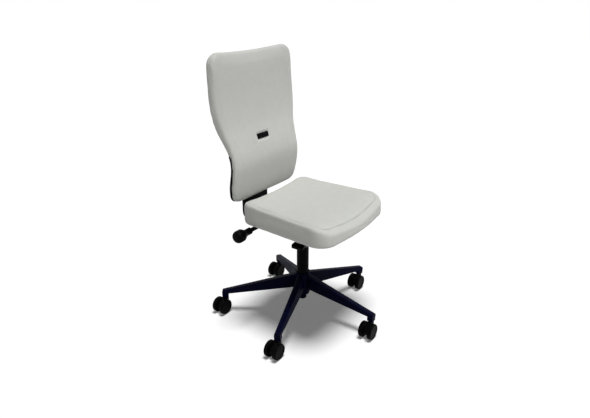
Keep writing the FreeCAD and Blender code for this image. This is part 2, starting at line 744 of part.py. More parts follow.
def seat_pan():
    z, rear_half, front_half, corner_y, rear_y = SEAT_RINGS[0]
    inset = PAN_INSET
    ring = seat_outline(PAN_LOW, rear_half - inset, front_half - inset, corner_y + inset,
                        rear_y - inset, 30.0, 50.0)
    pan = Part.Face(ring).extrude(V(0, 0, PAN_T))
    low = [e for e in pan.Edges if e.BoundBox.ZMax < PAN_LOW + 0.01]
    pan = pan.makeFillet(2.0, low)
    for x, y in seat_screw_spots():
        pan = pan.cut(upright(SCREW_R, PAN_LOW, PAN_LOW + SEAT_SCREW_IN, x, y))
    for x in (-ARM_HOLE_X, ARM_HOLE_X):
        for y in ARM_HOLE_Y:
            pan = pan.cut(upright(ARM_HOLE_R, PAN_LOW, PAN_LOW + ARM_HOLE_DEPTH, x, y))
    return pan


def seat_top_tool():
    """Everything above the dished cushion top with its rolled front."""
    reach = 250.0
    lid = SEAT_RINGS[-1][0] + 50.0
    wires = []
    for y, height, rise in SEAT_TOP:
        edge = height + rise * (reach / 226.0) ** 2
        left, right = V(-reach, y, edge), V(reach, y, edge)
        arc = Part.Arc(left, V(0, y, height), right).toShape()
        up_right, up_left = V(reach, y, lid), V(-reach, y, lid)
        lines = [Part.makeLine(right, up_right), Part.makeLine(up_right, up_left),
                 Part.makeLine(up_left, left)]
        wires.append(Part.Wire([arc] + lines))
    return loft(wires)


def seat_cushion():
    wires = []
    for z, rear_half, front_half, corner_y, rear_y in SEAT_RINGS:
        wires.append(seat_outline(z, rear_half, front_half, corner_y, rear_y, 40.0, 68.0))
    body = loft(wires).cut(seat_top_tool())
    rim = []
    for edge in body.Edges:
        bounds = edge.BoundBox
        tall = bounds.ZLength > 25.0 and bounds.YLength < 20.0 and bounds.XLength < 20.0
        if bounds.ZMin > SEAT_LOW + 20.0 and not tall:
            rim.append(edge)
    body = body.makeFillet(SEAT_EDGE, rim)
    return body.cut(seat_pan_block())


def seat_pan_block():
    """Room for the pan in the cushion's underside."""
    z, rear_half, front_half, corner_y, rear_y = SEAT_RINGS[0]
    inset = PAN_INSET
    ring = seat_outline(PAN_LOW - 5.0, rear_half - inset, front_half - inset, corner_y + inset,
                        rear_y - inset, 30.0, 50.0)
    return Part.Face(ring).extrude(V(0, 0, PAN_T + 5.0))


def screw_up(x, y, face_z, length):
    head = upright(SCREW_HEAD_R, face_z - SCREW_HEAD, face_z, x, y)
    low = [e for e in head.Edges if e.BoundBox.ZMax < face_z - SCREW_HEAD + 0.01]
    head = head.makeFillet(1.5, low[:1])
    return head.fuse(upright(SCREW_R, face_z, face_z + length, x, y)).removeSplitter()


def seat_screws():
    length = PLATE_T + SEAT_SCREW_IN
    return group([screw_up(x, y, PLATE_LOW, length) for x, y in seat_screw_spots()])


def back_at(z):
    """Half width, front face, hollow and thickness of the back at a height."""
    rows = BACK_RINGS
    if z <= rows[0][0]:
        return rows[0][1:]
    for low, top in zip(rows, rows[1:]):
        if z <= top[0]:
            share = (z - low[0]) / (top[0] - low[0])
            return tuple(a + (b - a) * share for a, b in zip(low[1:], top[1:]))
    return rows[-1][1:]


def back_ring(z, half, front, hollow, thickness, bulge):
    """Section of the back: hollow front, parallel rear and bulged sides."""
    rear = front + thickness
    middle = (front + rear) / 2.0
    fore = Part.Arc(V(-half, front, z), V(0, front + hollow, z), V(half, front, z))
    left = Part.Arc(V(half, front, z), V(half + bulge, middle, z), V(half, rear, z))
    aft = Part.Arc(V(half, rear, z), V(0, rear + hollow, z), V(-half, rear, z))
    right = Part.Arc(V(-half, rear, z), V(-half - bulge, middle, z), V(-half, front, z))
    return Part.Wire([arc.toShape() for arc in (fore, left, aft, right)])


def soft_ring(z, half, front, hollow, thickness):
    """Section of the padded back, whose edges are rounded at the front and at the rear."""
    share = thickness / BACK_DEEP
    fore_r, aft_r, bulge = FRONT_ROUND * share, REAR_ROUND * share, SIDE_BULGE * share
    sag = hollow / (half * half)
    fore_x, aft_x = half - fore_r, half - aft_r
    fore_y = front + hollow - sag * fore_x * fore_x
    aft_y = front + thickness + hollow - sag * aft_x * aft_x
    low, high = fore_y + fore_r, aft_y - aft_r
    slant = math.sqrt(0.5)
    arcs = [
        (V(-fore_x, fore_y, z), V(0, front + hollow, z), V(fore_x, fore_y, z)),
        (V(fore_x, fore_y, z), V(fore_x + slant * fore_r, low - slant * fore_r, z), V(half, low, z)),
        (V(half, low, z), V(half + bulge, (low + high) / 2.0, z), V(half, high, z)),
        (V(half, high, z), V(aft_x + slant * aft_r, high + slant * aft_r, z), V(aft_x, aft_y, z)),
        (V(aft_x, aft_y, z), V(0, front + thickness + hollow, z), V(-aft_x, aft_y, z)),
        (V(-aft_x, aft_y, z), V(-aft_x - slant * aft_r, high + slant * aft_r, z), V(-half, high, z)),
        (V(-half, high, z), V(-half - bulge, (low + high) / 2.0, z), V(-half, low, z)),
        (V(-half, low, z), V(-fore_x - slant * fore_r, low - slant * fore_r, z), V(-fore_x, fore_y, z)),
    ]
    return Part.Wire([Part.Arc(*points).toShape() for points in arcs])


def back_form():
    return loft([soft_ring(*row) for row in BACK_RINGS])


FULL_LOW = BACK_RINGS[3][0] + 5.0      # the back has its full section above this


def wrap_share(z):
    return min(1.0, max(0.0, (z - WRAP_LOW) / (WRAP_FULL - WRAP_LOW)))


def behind(heights, extra):
    """Solid behind the padding: from the shell's face, or deeper by extra, out past the rear."""
    wires = []
    for z in heights:
        half, front, hollow, thickness = back_at(min(max(z, FULL_LOW), SHELL_TOP - 10.0))
        share = wrap_share(z)
        half += 12.0 - (12.0 + SHELL_INSET) * share
        start = front + PAD_FRONT_LOW + (PAD_FRONT_TOP - PAD_FRONT_LOW) * share + extra
        wires.append(back_ring(z, half, start, hollow, 40.0, 1.0))
    return loft(wires)


def steps(low, top, count):
    """Evenly spaced heights from low up to, but not at, top."""
    return [low + (top - low) * i / count for i in range(count)]


SHELL_HEIGHTS = steps(BACK_RINGS[0][0] - 11.0, WRAP_LOW, 5) + [WRAP_LOW]
SHELL_HEIGHTS += steps(WRAP_FULL, SHELL_TOP, 7) + [SHELL_TOP]
PAD_HEIGHTS = steps(REAR_PAD_LOW, SHELL_TOP, 7) + [SHELL_TOP]


def tag_frame(shape):
    """Moves a shape from the plate's own frame onto the leaning front of the back."""
    half, front, hollow, thickness = back_at(TAG_Z)
    shape = shape.copy()
    shape.rotate(V(0, 0, 0), V(1, 0, 0), -TAG_LEAN)
    shape.translate(V(0, front + hollow, TAG_Z))
    return shape


def back_plate():
    corners = [
        V(-TAG_HALF_X, -TAG_PROUD, -TAG_HALF_Z),
        V(TAG_HALF_X, -TAG_PROUD, -TAG_HALF_Z),
        V(TAG_HALF_X, -TAG_PROUD, TAG_HALF_Z),
        V(-TAG_HALF_X, -TAG_PROUD, TAG_HALF_Z),
    ]
    plate = face(corners, [2.5] * 4).extrude(V(0, TAG_T, 0))
    front = [e for e in plate.Edges if e.BoundBox.YMax < -TAG_PROUD + 0.01]
    plate = plate.makeFillet(1.0, front)
    for x in (-TAG_PEG_X, TAG_PEG_X):
        plate = plate.fuse(cyl(TAG_PEG_R, V(x, 0, 0), V(x, PAD_FRONT_TOP - 2.0, 0)))
    return tag_frame(plate.removeSplitter())


def back_bolt_spots():
    return [(x, z) for x in (-BOLT_X, BOLT_X) for z in BOLT_Z]


def carrier_arm():
    """One arm of the back carrier with its shaft bore, stalk bore and link slot."""
    arm_end = CARRIER_REAR - 32.0
    corners = [
        (MAIN_Y - 14.0, MAIN_Z - 14.0), (MAIN_Y + 20.0, MAIN_Z - 14.0),
        (CARRIER_START + 14.0, CARRIER_MID - 9.0), (arm_end, CARRIER_MID - 9.0),
        (arm_end, CARRIER_MID + 13.0), (LINK_Y + 12.0, LINK_Z + 15.0),
        (KNOB_Y - 10.0, KNOB_Z + 15.5), (MAIN_Y + 12.0, MAIN_Z + 14.0),
        (MAIN_Y - 14.0, MAIN_Z + 14.0),
    ]
    points = [V(ARM_IN, y, z) for y, z in corners]
    arm = face(points, [12.0, 12.0, 0, 0, 0, 6.0, 6.0, 8.0, 12.0])
    arm = arm.extrude(V(ARM_OUT - ARM_IN, 0, 0))
    arm = arm.cut(cross(SHAFT_R + RUN, 0, 100.0, MAIN_Y, MAIN_Z))
    arm = arm.cut(cross(STALK_R + RUN, 0, 100.0, KNOB_Y, KNOB_Z))
    play = LINK_PLAY
    slot = cross(SHAFT_R + 1.2, 0, 100.0, LINK_Y - play, LINK_Z)
    slot = slot.fuse(cross(SHAFT_R + 1.2, 0, 100.0, LINK_Y + play, LINK_Z))
    slot = slot.fuse(box(0, 100.0, LINK_Y - play, LINK_Y + play, LINK_Z - SHAFT_R - 1.2,
                         LINK_Z + SHAFT_R + 1.2))
    return arm.cut(slot)


def back_carrier():
    middle = UPRIGHT_FACE + UPRIGHT_T / 2.0
    path = [(CARRIER_START, CARRIER_MID), (CARRIER_REAR, CARRIER_MID),
            (CARRIER_REAR, CARRIER_KNEE), (middle, CARRIER_NECK), (middle, UPRIGHT_TOP)]
    strip = band_face(path, UPRIGHT_T, 26.0, lambda a, b: V(-UPRIGHT_HALF, a, b))
    strip = strip.extrude(V(2 * UPRIGHT_HALF, 0, 0))
    trim = []
    for edge in strip.Edges:
        bounds = edge.BoundBox
        if bounds.ZMin > UPRIGHT_TOP - 0.01 and bounds.YLength > 1.0:
            trim.append(edge)
    strip = strip.makeFillet(24.0, trim)
    body = fuse([strip] + both(carrier_arm()))
    for x, z in back_bolt_spots():
        body = body.cut(cyl(SCREW_R + 0.3, V(x, UPRIGHT_FACE - 2.0, z), V(x, 300.0, z)))
    return body


def back_screws():
    solids = []
    rear = UPRIGHT_FACE + UPRIGHT_T
    for x, z in back_bolt_spots():
        head = cyl(SCREW_HEAD_R, V(x, rear, z), V(x, rear + SCREW_HEAD, z))
        rim = [e for e in head.Edges if e.BoundBox.YMin > rear + SCREW_HEAD - 0.01]
        head = head.makeFillet(1.5, rim[:1])
        shank = cyl(SCREW_R, V(x, UPRIGHT_FACE - BOLT_IN, z), V(x, rear, z))
        solids.append(head.fuse(shank).removeSplitter())
    return group(solids)


def back_pieces():
    form = back_form()
    pocket = behind(SHELL_HEIGHTS, 0.0)
    plate = back_plate()
    cushion = form.cut(pocket).cut(plate)
    inner = form.common(pocket)
    rear_tool = behind(PAD_HEIGHTS, SHELL_TOP_T)
    rear_pad = inner.common(rear_tool)
    shell = inner.cut(rear_tool)
    for x, z in back_bolt_spots():
        boss = cyl(BOSS_R, V(x, UPRIGHT_FACE - 26.0, z), V(x, UPRIGHT_FACE, z))
        boss = boss.cut(form.cut(inner))
        shell = shell.fuse(boss)
    for x, z in back_bolt_spots():
        shell = shell.cut(cyl(SCREW_R, V(x, UPRIGHT_FACE - BOLT_IN, z), V(x, UPRIGHT_FACE + 1.0, z)))
    return cushion, shell, rear_pad, plate


def caster_stem():
    stem = upright(STEM_R, STEM_FOOT, STEM_TOP)
    stem = stem.fuse(upright(FLANGE_R, CASTER_TOP, CASTER_TOP + FLANGE_T))
    return stem.cut(grip_ring(GROOVE_R, STEM_R + 1.0)).removeSplitter()


def grip_ring(inner, outer):
    ring = upright(outer, GROOVE_Z, GROOVE_Z + GROOVE_T)
    return ring.cut(upright(inner, GROOVE_Z, GROOVE_Z + GROOVE_T))


def caster_body():
    web = CASTER_WEB
    disc = cyl(21.0, V(-TRAIL, -web, WHEEL_R), V(-TRAIL, web, WHEEL_R))
    neck = [
        V(-TRAIL - 4.0, -web, WHEEL_R + 20.0),
        V(-TRAIL + 6.0, -web, WHEEL_R - 18.0),
        V(11.0, -web, STEM_FOOT - 4.0),
        V(11.0, -web, CASTER_TOP),
        V(-9.0, -web, CASTER_TOP),
    ]
    bridge = face(neck, [0, 0, 8.0, 2.0, 6.0]).extrude(V(0, 2 * web, 0))
    boss = upright(CASTER_BOSS_R, STEM_FOOT - 2.0, CASTER_TOP)
    body = fuse([disc, bridge, boss])
    body = body.cut(upright(STEM_R, STEM_FOOT, CASTER_TOP))
    body = body.cut(cyl(AXLE_R, V(-TRAIL, -20.0, WHEEL_R), V(-TRAIL, 20.0, WHEEL_R)))
    return body.removeSplitter()


def caster_axle():
    return cyl(AXLE_R, V(-TRAIL, -AXLE_END, WHEEL_R), V(-TRAIL, AXLE_END, WHEEL_R))


def caster_wheel():
    bore = AXLE_R + RUN
    rim = WHEEL_OUT
    profile = [
        (0, AXLE_END + 0.5), (bore, AXLE_END + 0.5), (bore, WHEEL_IN), (11.0, WHEEL_IN),
        (11.0, 14.0), (27.0, 14.0), (27.0, WHEEL_IN + 1.0), (WHEEL_R, WHEEL_IN + 1.0),
        (WHEEL_R, rim), (25.0, rim), (23.5, rim - 1.6), (0, rim - 1.6),
    ]
    radii = [0, 0, 0, 1.0, 2.0, 2.0, 1.0, 2.5, 5.0, 1.0, 1.0, 0]
    shape = face([V(radius, y, 0) for radius, y in profile], radii)
    wheel = shape.revolve(V(0, 0, 0), V(0, 1, 0), 360.0)
    wheel.translate(V(-TRAIL, 0, WHEEL_R))
    return wheel


def write_casters():
    stem = caster_stem()
    body = caster_body()
    axle = caster_axle()
    front = caster_wheel().mirror(V(0, 0, 0), V(0, 1, 0))
    rear = caster_wheel()
    ring = grip_ring(GROOVE_R + 0.1, STEM_R + RUN)
    ring = ring.cut(box(0, 10.0, -1.5, 1.5, GROOVE_Z, GROOVE_Z + GROOVE_T))
    rings = []
    for i, (angle, x, y) in enumerate(arm_tops()):
        number = str(i + 1)
        place = V(x, y, 0)
        save("caster_stem_" + number, stem.translated(place))
        save("caster_body_" + number, body.translated(place))
        save("caster_axle_" + number, axle.translated(place))
        save("caster_wheel_front_" + number, front.translated(place))
        save("caster_wheel_rear_" + number, rear.translated(place))
        rings.append(ring.translated(place))
    save("caster_grip_rings", group(rings))


def write_column():
    save("star_base", star_base())
    save("column_tube", column_tube())
    save("column_guide_bush", column_guide_bush())
    save("column_end_cap", column_end_cap())
    save("bearing_race_lower", race(RACE_LOW, ROD_NECK_R + RUN))
    save("bearing_race_upper", race(RACE_LOW + RACE_T + RACE_GAP, ROD_NECK_R))
    save("piston_rod", piston_rod())
    save("rod_clip", rod_clip())
    save("gas_cylinder", gas_cylinder())
    save("release_pin", release_pin())


def write_mechanism():
    save("mechanism_housing", mechanism_housing())
    save("main_shaft", shaft(MAIN_Y, MAIN_Z))
    save("front_shaft", shaft(FRONT_Y, FRONT_Z))
    clips = shaft_clip_rings(MAIN_Y, MAIN_Z) + shaft_clip_rings(FRONT_Y, FRONT_Z)
    save("shaft_clips", group(clips))
    save("lever_pin", lever_pin())
    save("tension_spring", tension_spring())
    save("lift_lever", lift_lever())
    save("lever_paddle", lever_paddle())
    save("tension_shaft", tension_shaft())
    save("tension_collar", tension_collar())
    save("tension_knob", tension_knob())
    save("tension_nut", tension_nut())


def write_seat():
    save("seat_plate", seat_plate())
    save("seat_pan", seat_pan())
    save("seat_cushion", seat_cushion())
    save("seat_screws", seat_screws())
    save("link_pin", cross(SHAFT_R, -LINK_END, LINK_END, LINK_Y, LINK_Z))


def write_back():
    cushion, shell, rear_pad, plate = back_pieces()
    save("back_cushion", cushion)
    save("back_shell", shell)
    save("back_rear_pad", rear_pad)
    save("back_plate", plate)
    save("back_carrier", back_carrier())
    save("back_screws", back_screws())


os.makedirs("parts", exist_ok=True)
write_casters()
write_column()
write_mechanism()
write_seat()
write_back()
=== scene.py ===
"""Looks of the office swivel chair: sewn padding, finishes, a plain studio and the camera.

Metres, +Z up, origin on the floor on the column axis. The sitter faces -Y.
"""
import json
import math

import bmesh
import bpy
import numpy as np
from bpy.props import FloatProperty, FloatVectorProperty, IntProperty, PointerProperty
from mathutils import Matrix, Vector
from mathutils.geometry import convex_hull_2d

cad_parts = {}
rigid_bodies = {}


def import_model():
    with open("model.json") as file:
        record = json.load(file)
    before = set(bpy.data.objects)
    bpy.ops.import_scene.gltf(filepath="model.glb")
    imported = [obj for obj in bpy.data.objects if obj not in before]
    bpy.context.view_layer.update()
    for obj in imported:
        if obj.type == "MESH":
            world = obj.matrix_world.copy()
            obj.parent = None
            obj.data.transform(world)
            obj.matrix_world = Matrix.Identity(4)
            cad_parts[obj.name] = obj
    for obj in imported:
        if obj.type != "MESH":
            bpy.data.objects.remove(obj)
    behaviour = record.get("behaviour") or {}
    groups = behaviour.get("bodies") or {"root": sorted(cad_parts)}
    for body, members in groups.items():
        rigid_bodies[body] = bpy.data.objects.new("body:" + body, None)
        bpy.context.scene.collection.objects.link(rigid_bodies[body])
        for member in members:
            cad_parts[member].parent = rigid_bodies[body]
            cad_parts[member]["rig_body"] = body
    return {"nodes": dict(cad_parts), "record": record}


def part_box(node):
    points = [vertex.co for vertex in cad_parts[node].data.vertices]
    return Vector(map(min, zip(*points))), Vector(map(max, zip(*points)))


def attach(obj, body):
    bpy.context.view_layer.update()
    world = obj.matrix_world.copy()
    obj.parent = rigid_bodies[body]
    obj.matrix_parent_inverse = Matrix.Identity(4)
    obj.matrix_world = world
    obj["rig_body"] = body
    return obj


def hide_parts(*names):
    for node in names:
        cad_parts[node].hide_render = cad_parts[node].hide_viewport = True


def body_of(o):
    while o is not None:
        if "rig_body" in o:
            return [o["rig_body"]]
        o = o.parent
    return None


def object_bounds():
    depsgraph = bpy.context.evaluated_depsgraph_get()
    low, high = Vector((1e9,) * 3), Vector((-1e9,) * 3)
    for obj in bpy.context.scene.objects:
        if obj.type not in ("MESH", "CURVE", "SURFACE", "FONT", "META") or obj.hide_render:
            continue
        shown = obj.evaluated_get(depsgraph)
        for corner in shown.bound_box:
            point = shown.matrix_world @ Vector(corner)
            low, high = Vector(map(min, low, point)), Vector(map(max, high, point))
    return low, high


bl_info = {
    "name": "Office swivel chair",
    "version": (1, 0, 0),
    "blender": (4, 5, 0),
    "location": "3D View > Sidebar > Chair",
    "description": "Dresses the jointed office chair in sewn padding and finishes, in a plain studio",
    "category": "Object",
}

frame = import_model()
CAD_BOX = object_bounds()


def colour(name, text, value):
    """A colour that a user may change."""
    return FloatVectorProperty(name=name, description=text, subtype="COLOR", size=3,
                               min=0.0, max=1.0, default=value)


def length(name, text, value):
    """A size in metres that a user may change."""
    return FloatProperty(name=name, description=text, default=value, min=0.0, unit="LENGTH", precision=4)


def amount(name, text, value):
    """A strength that a user may change."""
    return FloatProperty(name=name, description=text, default=value, min=0.0)


class ChairUpholstery(bpy.types.PropertyGroup):
    """Cloth and sewing of the cushions."""
    light_thread: colour("Light thread", "Colour of the cloth's paler threads", (0.625, 0.630, 0.598))
    dark_thread: colour("Dark thread", "Colour of the cloth's darker threads", (0.490, 0.495, 0.468))
    thread: length("Thread", "Pitch of the weave", 0.0018)
    seam_depth: length("Seam depth", "How deep a sewn seam pulls into the padding", 0.0026)
    seam_width: length("Seam width", "Half width of the valley along a seam", 0.0055)
    side_inset: length("Side seam inset", "Seat seam inside the edge, at the sides and rear", 0.013)
    edge_fill: length("Edge filling", "How far the filling rounds out the back's front edges", 0.0015)
    top_dip: length("Top dip", "How far the middle of the back's top edge lies below its corners", 0.008)
    low_bow: length("Low bow", "How far the middle of the back's lower edge hangs below its corners", 0.004)
    rear_hem: length("Rear hem", "How far the rear pad's hem reaches to the cushion's rim", 0.0065)
    hem_thick: length("Hem thickness", "How far the rear pad's lower hem stands off the shell", 0.0035)
    front_inset: length("Front seam inset", "Seat seam inside the edge, at the front", 0.027)


class ChairPadding(bpy.types.PropertyGroup):
    """How the padding is swelled."""
    voxel: length("Voxel", "Cell size of the padding's mesh", 0.0052)
    slack: length("Slack", "How far the cover starts inside the cushion's form", 0.0035)
    most: length("Most swelling", "Farthest that a point of the cover may move", 0.007)
    pressure: amount("Pressure", "Pressure of the filling", 4.0)
    loose: FloatProperty(name="Looseness", description="How far the cover follows its folds, 0 being taut",
                         default=0.30, min=0.0, max=1.0, subtype="FACTOR")
    steps: IntProperty(name="Steps", description="Steps of the swelling", default=20, min=2)


class ChairFinishes(bpy.types.PropertyGroup):
    """Colours of the rigid pieces."""
    star: colour("Star base", "Blue-black moulding of the base", (0.0009, 0.0013, 0.0118))
    moulding: colour("Moulding", "Black plastic of shell, carrier and pan", (0.0018, 0.0018, 0.0021))
    tyre: colour("Caster", "Black nylon of the casters", (0.0012, 0.0012, 0.0013))
    paint: colour("Paint", "Black paint of column and mechanism", (0.0012, 0.0012, 0.0015))
    gloss: colour("Plate", "Smooth black plate on the back", (0.0014, 0.0014, 0.0016))
    zinc: colour("Zinc", "Plated steel of shafts and screws", (0.46, 0.46, 0.47))
    chrome: colour("Chrome", "Polished piston rod", (0.62, 0.62, 0.63))


class ChairStudio(bpy.types.PropertyGroup):
    """Floor, light and camera."""
    floor: colour("Floor", "Colour of the floor", (0.97, 0.97, 0.97))
    bounce: colour("Floor bounce", "Colour that the floor throws back", (0.75, 0.75, 0.75))
    glow: amount("Floor glow", "How far the seen floor is lifted towards white", 0.145)
    sky: amount("Sky", "Light from all round", 0.06)
    overhead: amount("Overhead light", "Soft light on the floor", 2.70)
    key: amount("Key light", "Soft light on the chair, from above its front", 3.15)
    fill: amount("Fill light", "Soft light on the chair's right front", 0.25)
    rear: amount("Rear light", "Weak light on the chair's rear", 0.25)
    eye: FloatVectorProperty(name="Eye", description="Place of the camera", subtype="TRANSLATION",
                             size=3, default=(-1.6813, -1.1356, 1.3005))
    target: FloatVectorProperty(name="Target", description="Point that the camera faces",
                                subtype="TRANSLATION", size=3, default=(-0.0186, 0.0265, 0.4665))
    lens: FloatProperty(name="Lens", description="Focal length on a 36 mm film", default=33.25,
                        min=1.0, unit="CAMERA")


# Node trees

def feed(tree, socket, value):
    """Links a socket to another one, or sets it to a value."""
    if isinstance(value, bpy.types.NodeSocket):
        tree.links.new(value, socket)
    else:
        socket.default_value = value


def put(tree, kind, options=None, inputs=None):
    """Adds a node with its options set and its inputs filled or linked."""
    made = tree.nodes.new(kind)
    for key, value in (options or {}).items():
        setattr(made, key, value)
    for key, value in (inputs or {}).items():
        feed(tree, made.inputs[key], value)
    return made


def maths(tree, operation, first, second=None):
    """The result of a sum on one or two values."""
    inputs = {0: first} if second is None else {0: first, 1: second}
    return put(tree, "ShaderNodeMath", {"operation": operation}, inputs).outputs[0]


def spread(tree, value, low, high, to_low, to_high):
    """Maps a value from one range to another, held at its ends."""
    inputs = {"Value": value, "From Min": low, "From Max": high, "To Min": to_low, "To Max": to_high}
    return put(tree, "ShaderNodeMapRange", {"clamp": True}, inputs).outputs["Result"]


def blend_colours(tree, share, first, second, kind="MIX"):
    """Two colours mixed or multiplied by a share."""
    node = put(tree, "ShaderNodeMix", {"data_type": "RGBA", "blend_type": kind, "clamp_factor": True})
    feed(tree, node.inputs[0], share)
    feed(tree, node.inputs[6], first)
    feed(tree, node.inputs[7], second)
    return node.outputs[2]


def noise(tree, place, scale, detail=2.0, rough=0.5):
    """Cloudy values between 0 and 1, scale being clouds per metre."""
    inputs = {"Vector": place, "Scale": scale, "Detail": detail, "Roughness": rough}
    return put(tree, "ShaderNodeTexNoise", None, inputs).outputs["Fac"]


def new_group(name, takes, gives):
    """An empty shader node group with its sockets."""
    tree = bpy.data.node_groups.new(name, "ShaderNodeTree")
    for label, kind, value in takes:
        socket = tree.interface.new_socket(name=label, in_out="INPUT", socket_type=kind)
        if value is not None:
            socket.default_value = value
    for label in gives:
        tree.interface.new_socket(name=label, in_out="OUTPUT", socket_type="NodeSocketFloat")
    start = tree.nodes.new("NodeGroupInput").outputs
    end = tree.nodes.new("NodeGroupOutput").inputs
    return tree, start, end


YARN_STRAY = 0.0016         # how far a yarn strays from its line, in metres
YARN_STRAY_SCALE = 90.0     # how often it strays, per metre
SLUB_SCALE = 420.0          # uneven thickness along a yarn, per metre
CLOTH_PATCH_SCALE = 34.0    # soft patches of tone, per metre
WEAVE_IN_TONE = 0.34        # share of the weave in the cloth's tone
SLUB_IN_HEIGHT = 0.8        # share of the uneven yarn in the cloth's relief


def woven_cloth():
    """Plain weave laid on whichever plane the surface faces, with uneven yarn and soft patches."""
    tree = bpy.data.node_groups.get("woven_cloth")
    if tree:
        return tree
    tree, start, end = new_group("woven_cloth", [
        ("Vector", "NodeSocketVector", None),
        ("Normal", "NodeSocketVector", None),
        ("Pitch", "NodeSocketFloat", 0.002),
    ], ["Tone", "Patch", "Height"])
    waves = maths(tree, "DIVIDE", math.pi, start["Pitch"])
    wobble = put(tree, "ShaderNodeTexNoise", None,
                 {"Vector": start["Vector"], "Scale": YARN_STRAY_SCALE, "Detail": 2.0}).outputs["Color"]
    drift = put(tree, "ShaderNodeVectorMath", {"operation": "SCALE"},
                {0: wobble, "Scale": YARN_STRAY}).outputs[0]
    bent = put(tree, "ShaderNodeVectorMath", {"operation": "ADD"}, {0: start["Vector"], 1: drift}).outputs[0]
    phase = put(tree, "ShaderNodeVectorMath", {"operation": "SCALE"}, {0: bent, "Scale": waves}).outputs[0]
    sines = put(tree, "ShaderNodeVectorMath", {"operation": "SINE"}, {0: phase}).outputs[0]
    facing = put(tree, "ShaderNodeVectorMath", {"operation": "MULTIPLY"},
                 {0: start["Normal"], 1: start["Normal"]}).outputs[0]
    sine = put(tree, "ShaderNodeSeparateXYZ", None, {0: sines}).outputs
    share = put(tree, "ShaderNodeSeparateXYZ", None, {0: facing}).outputs
    flat = maths(tree, "MULTIPLY", maths(tree, "MULTIPLY", sine[0], sine[1]), share[2])
    front = maths(tree, "MULTIPLY", maths(tree, "MULTIPLY", sine[0], sine[2]), share[1])
    side = maths(tree, "MULTIPLY", maths(tree, "MULTIPLY", sine[1], sine[2]), share[0])
    weave = maths(tree, "ADD", maths(tree, "ADD", flat, front), side)
    slub = noise(tree, start["Vector"], SLUB_SCALE, 3.0)
    patch = noise(tree, start["Vector"], CLOTH_PATCH_SCALE, 4.0, 0.6)
    tone = maths(tree, "ADD", maths(tree, "MULTIPLY", weave, WEAVE_IN_TONE), slub)
    height = maths(tree, "ADD", weave, maths(tree, "MULTIPLY", slub, SLUB_IN_HEIGHT))
    feed(tree, end["Tone"], tone)
    feed(tree, end["Patch"], patch)
    feed(tree, end["Height"], height)
    return tree


FINE_GRAIN_SCALE = 2400.0               # fine roughness of moulded plastic, per metre
FLOW_SCALE = 22.0                       # flow patches of moulded plastic, per metre
SCUFF_TURN = (0.5, 0.3, 0.9)            # lie of the scuffs
SCUFF_STRETCH = (40.0, 420.0, 130.0)    # scuffs per metre along and across them
SCUFF_RANGE = (0.62, 0.74)              # noise between which a scuff appears
DULL_PATCH_SCALE = 26.0                 # dull patches of a baked coat, per metre
PLATING_SCALE = 180.0                   # clouds in the plating, per metre


def moulded_grain():
    """Spark-eroded grain of moulded plastic, with faint flow patches and fine scuffs."""
    tree = bpy.data.node_groups.get("moulded_grain")
    if tree:
        return tree
    tree, start, end = new_group("moulded_grain", [
        ("Vector", "NodeSocketVector", None),
        ("Grain", "NodeSocketFloat", 900.0),
    ], ["Height", "Patch", "Scuff"])
    cells = put(tree, "ShaderNodeTexVoronoi", {"feature": "SMOOTH_F1"},
                {"Vector": start["Vector"], "Scale": start["Grain"]}).outputs["Distance"]
    fine = noise(tree, start["Vector"], FINE_GRAIN_SCALE, 2.0)
    height = maths(tree, "ADD", cells, maths(tree, "MULTIPLY", fine, 0.5))
    patch = noise(tree, start["Vector"], FLOW_SCALE, 4.0, 0.6)
    stretch = put(tree, "ShaderNodeMapping", None,
                  {"Vector": start["Vector"], "Rotation": SCUFF_TURN, "Scale": SCUFF_STRETCH})
    scratch = noise(tree, stretch.outputs[0], 1.0, 3.0, 0.7)
    feed(tree, end["Height"], height)
    feed(tree, end["Patch"], patch)
    feed(tree, end["Scuff"], spread(tree, scratch, *SCUFF_RANGE, 0.0, 1.0))
    return tree


def coat_texture():
    """Orange peel of a baked coat, with faint dull patches."""
    tree = bpy.data.node_groups.get("coat_texture")
    if tree:
        return tree
    tree, start, end = new_group("coat_texture", [
        ("Vector", "NodeSocketVector", None),
        ("Peel", "NodeSocketFloat", 700.0),
    ], ["Height", "Patch"])
    feed(tree, end["Height"], noise(tree, start["Vector"], start["Peel"], 2.0))
    feed(tree, end["Patch"], noise(tree, start["Vector"], DULL_PATCH_SCALE, 4.0, 0.65))
    return tree


def metal_lines():
    """Drawing and turning marks of plated steel, with cloudy plating."""
    tree = bpy.data.node_groups.get("metal_lines")
    if tree:
        return tree
    tree, start, end = new_group("metal_lines", [
        ("Vector", "NodeSocketVector", None),
        ("Along", "NodeSocketVector", (40.0, 2600.0, 2600.0)),
    ], ["Lines", "Cloud"])
    scaled = put(tree, "ShaderNodeVectorMath", {"operation": "MULTIPLY"},
                 {0: start["Vector"], 1: start["Along"]}).outputs[0]
    feed(tree, end["Lines"], noise(tree, scaled, 1.0, 3.0, 0.6))
    feed(tree, end["Cloud"], noise(tree, start["Vector"], PLATING_SCALE, 3.0, 0.6))
    return tree


def blank(name):
    """A material with its shader and the surface's own coordinates."""
    material = bpy.data.materials.new(name)
    material.use_nodes = True
    tree = material.node_tree
    shader = next(node for node in tree.nodes if node.type == "BSDF_PRINCIPLED")
    place = tree.nodes.new("ShaderNodeTexCoord")
    return material, tree, shader, place.outputs


def rgba(value, gain=1.0):
    """A colour made lighter or darker, with full cover."""
    return tuple(min(1.0, part * gain) for part in value) + (1.0,)


def bump(tree, shader, height, strength, distance):
    """Fine relief on a shader's surface."""
    node = put(tree, "ShaderNodeBump", None, {"Height": height, "Strength": strength, "Distance": distance})
    feed(tree, shader.inputs["Normal"], node.outputs["Normal"])


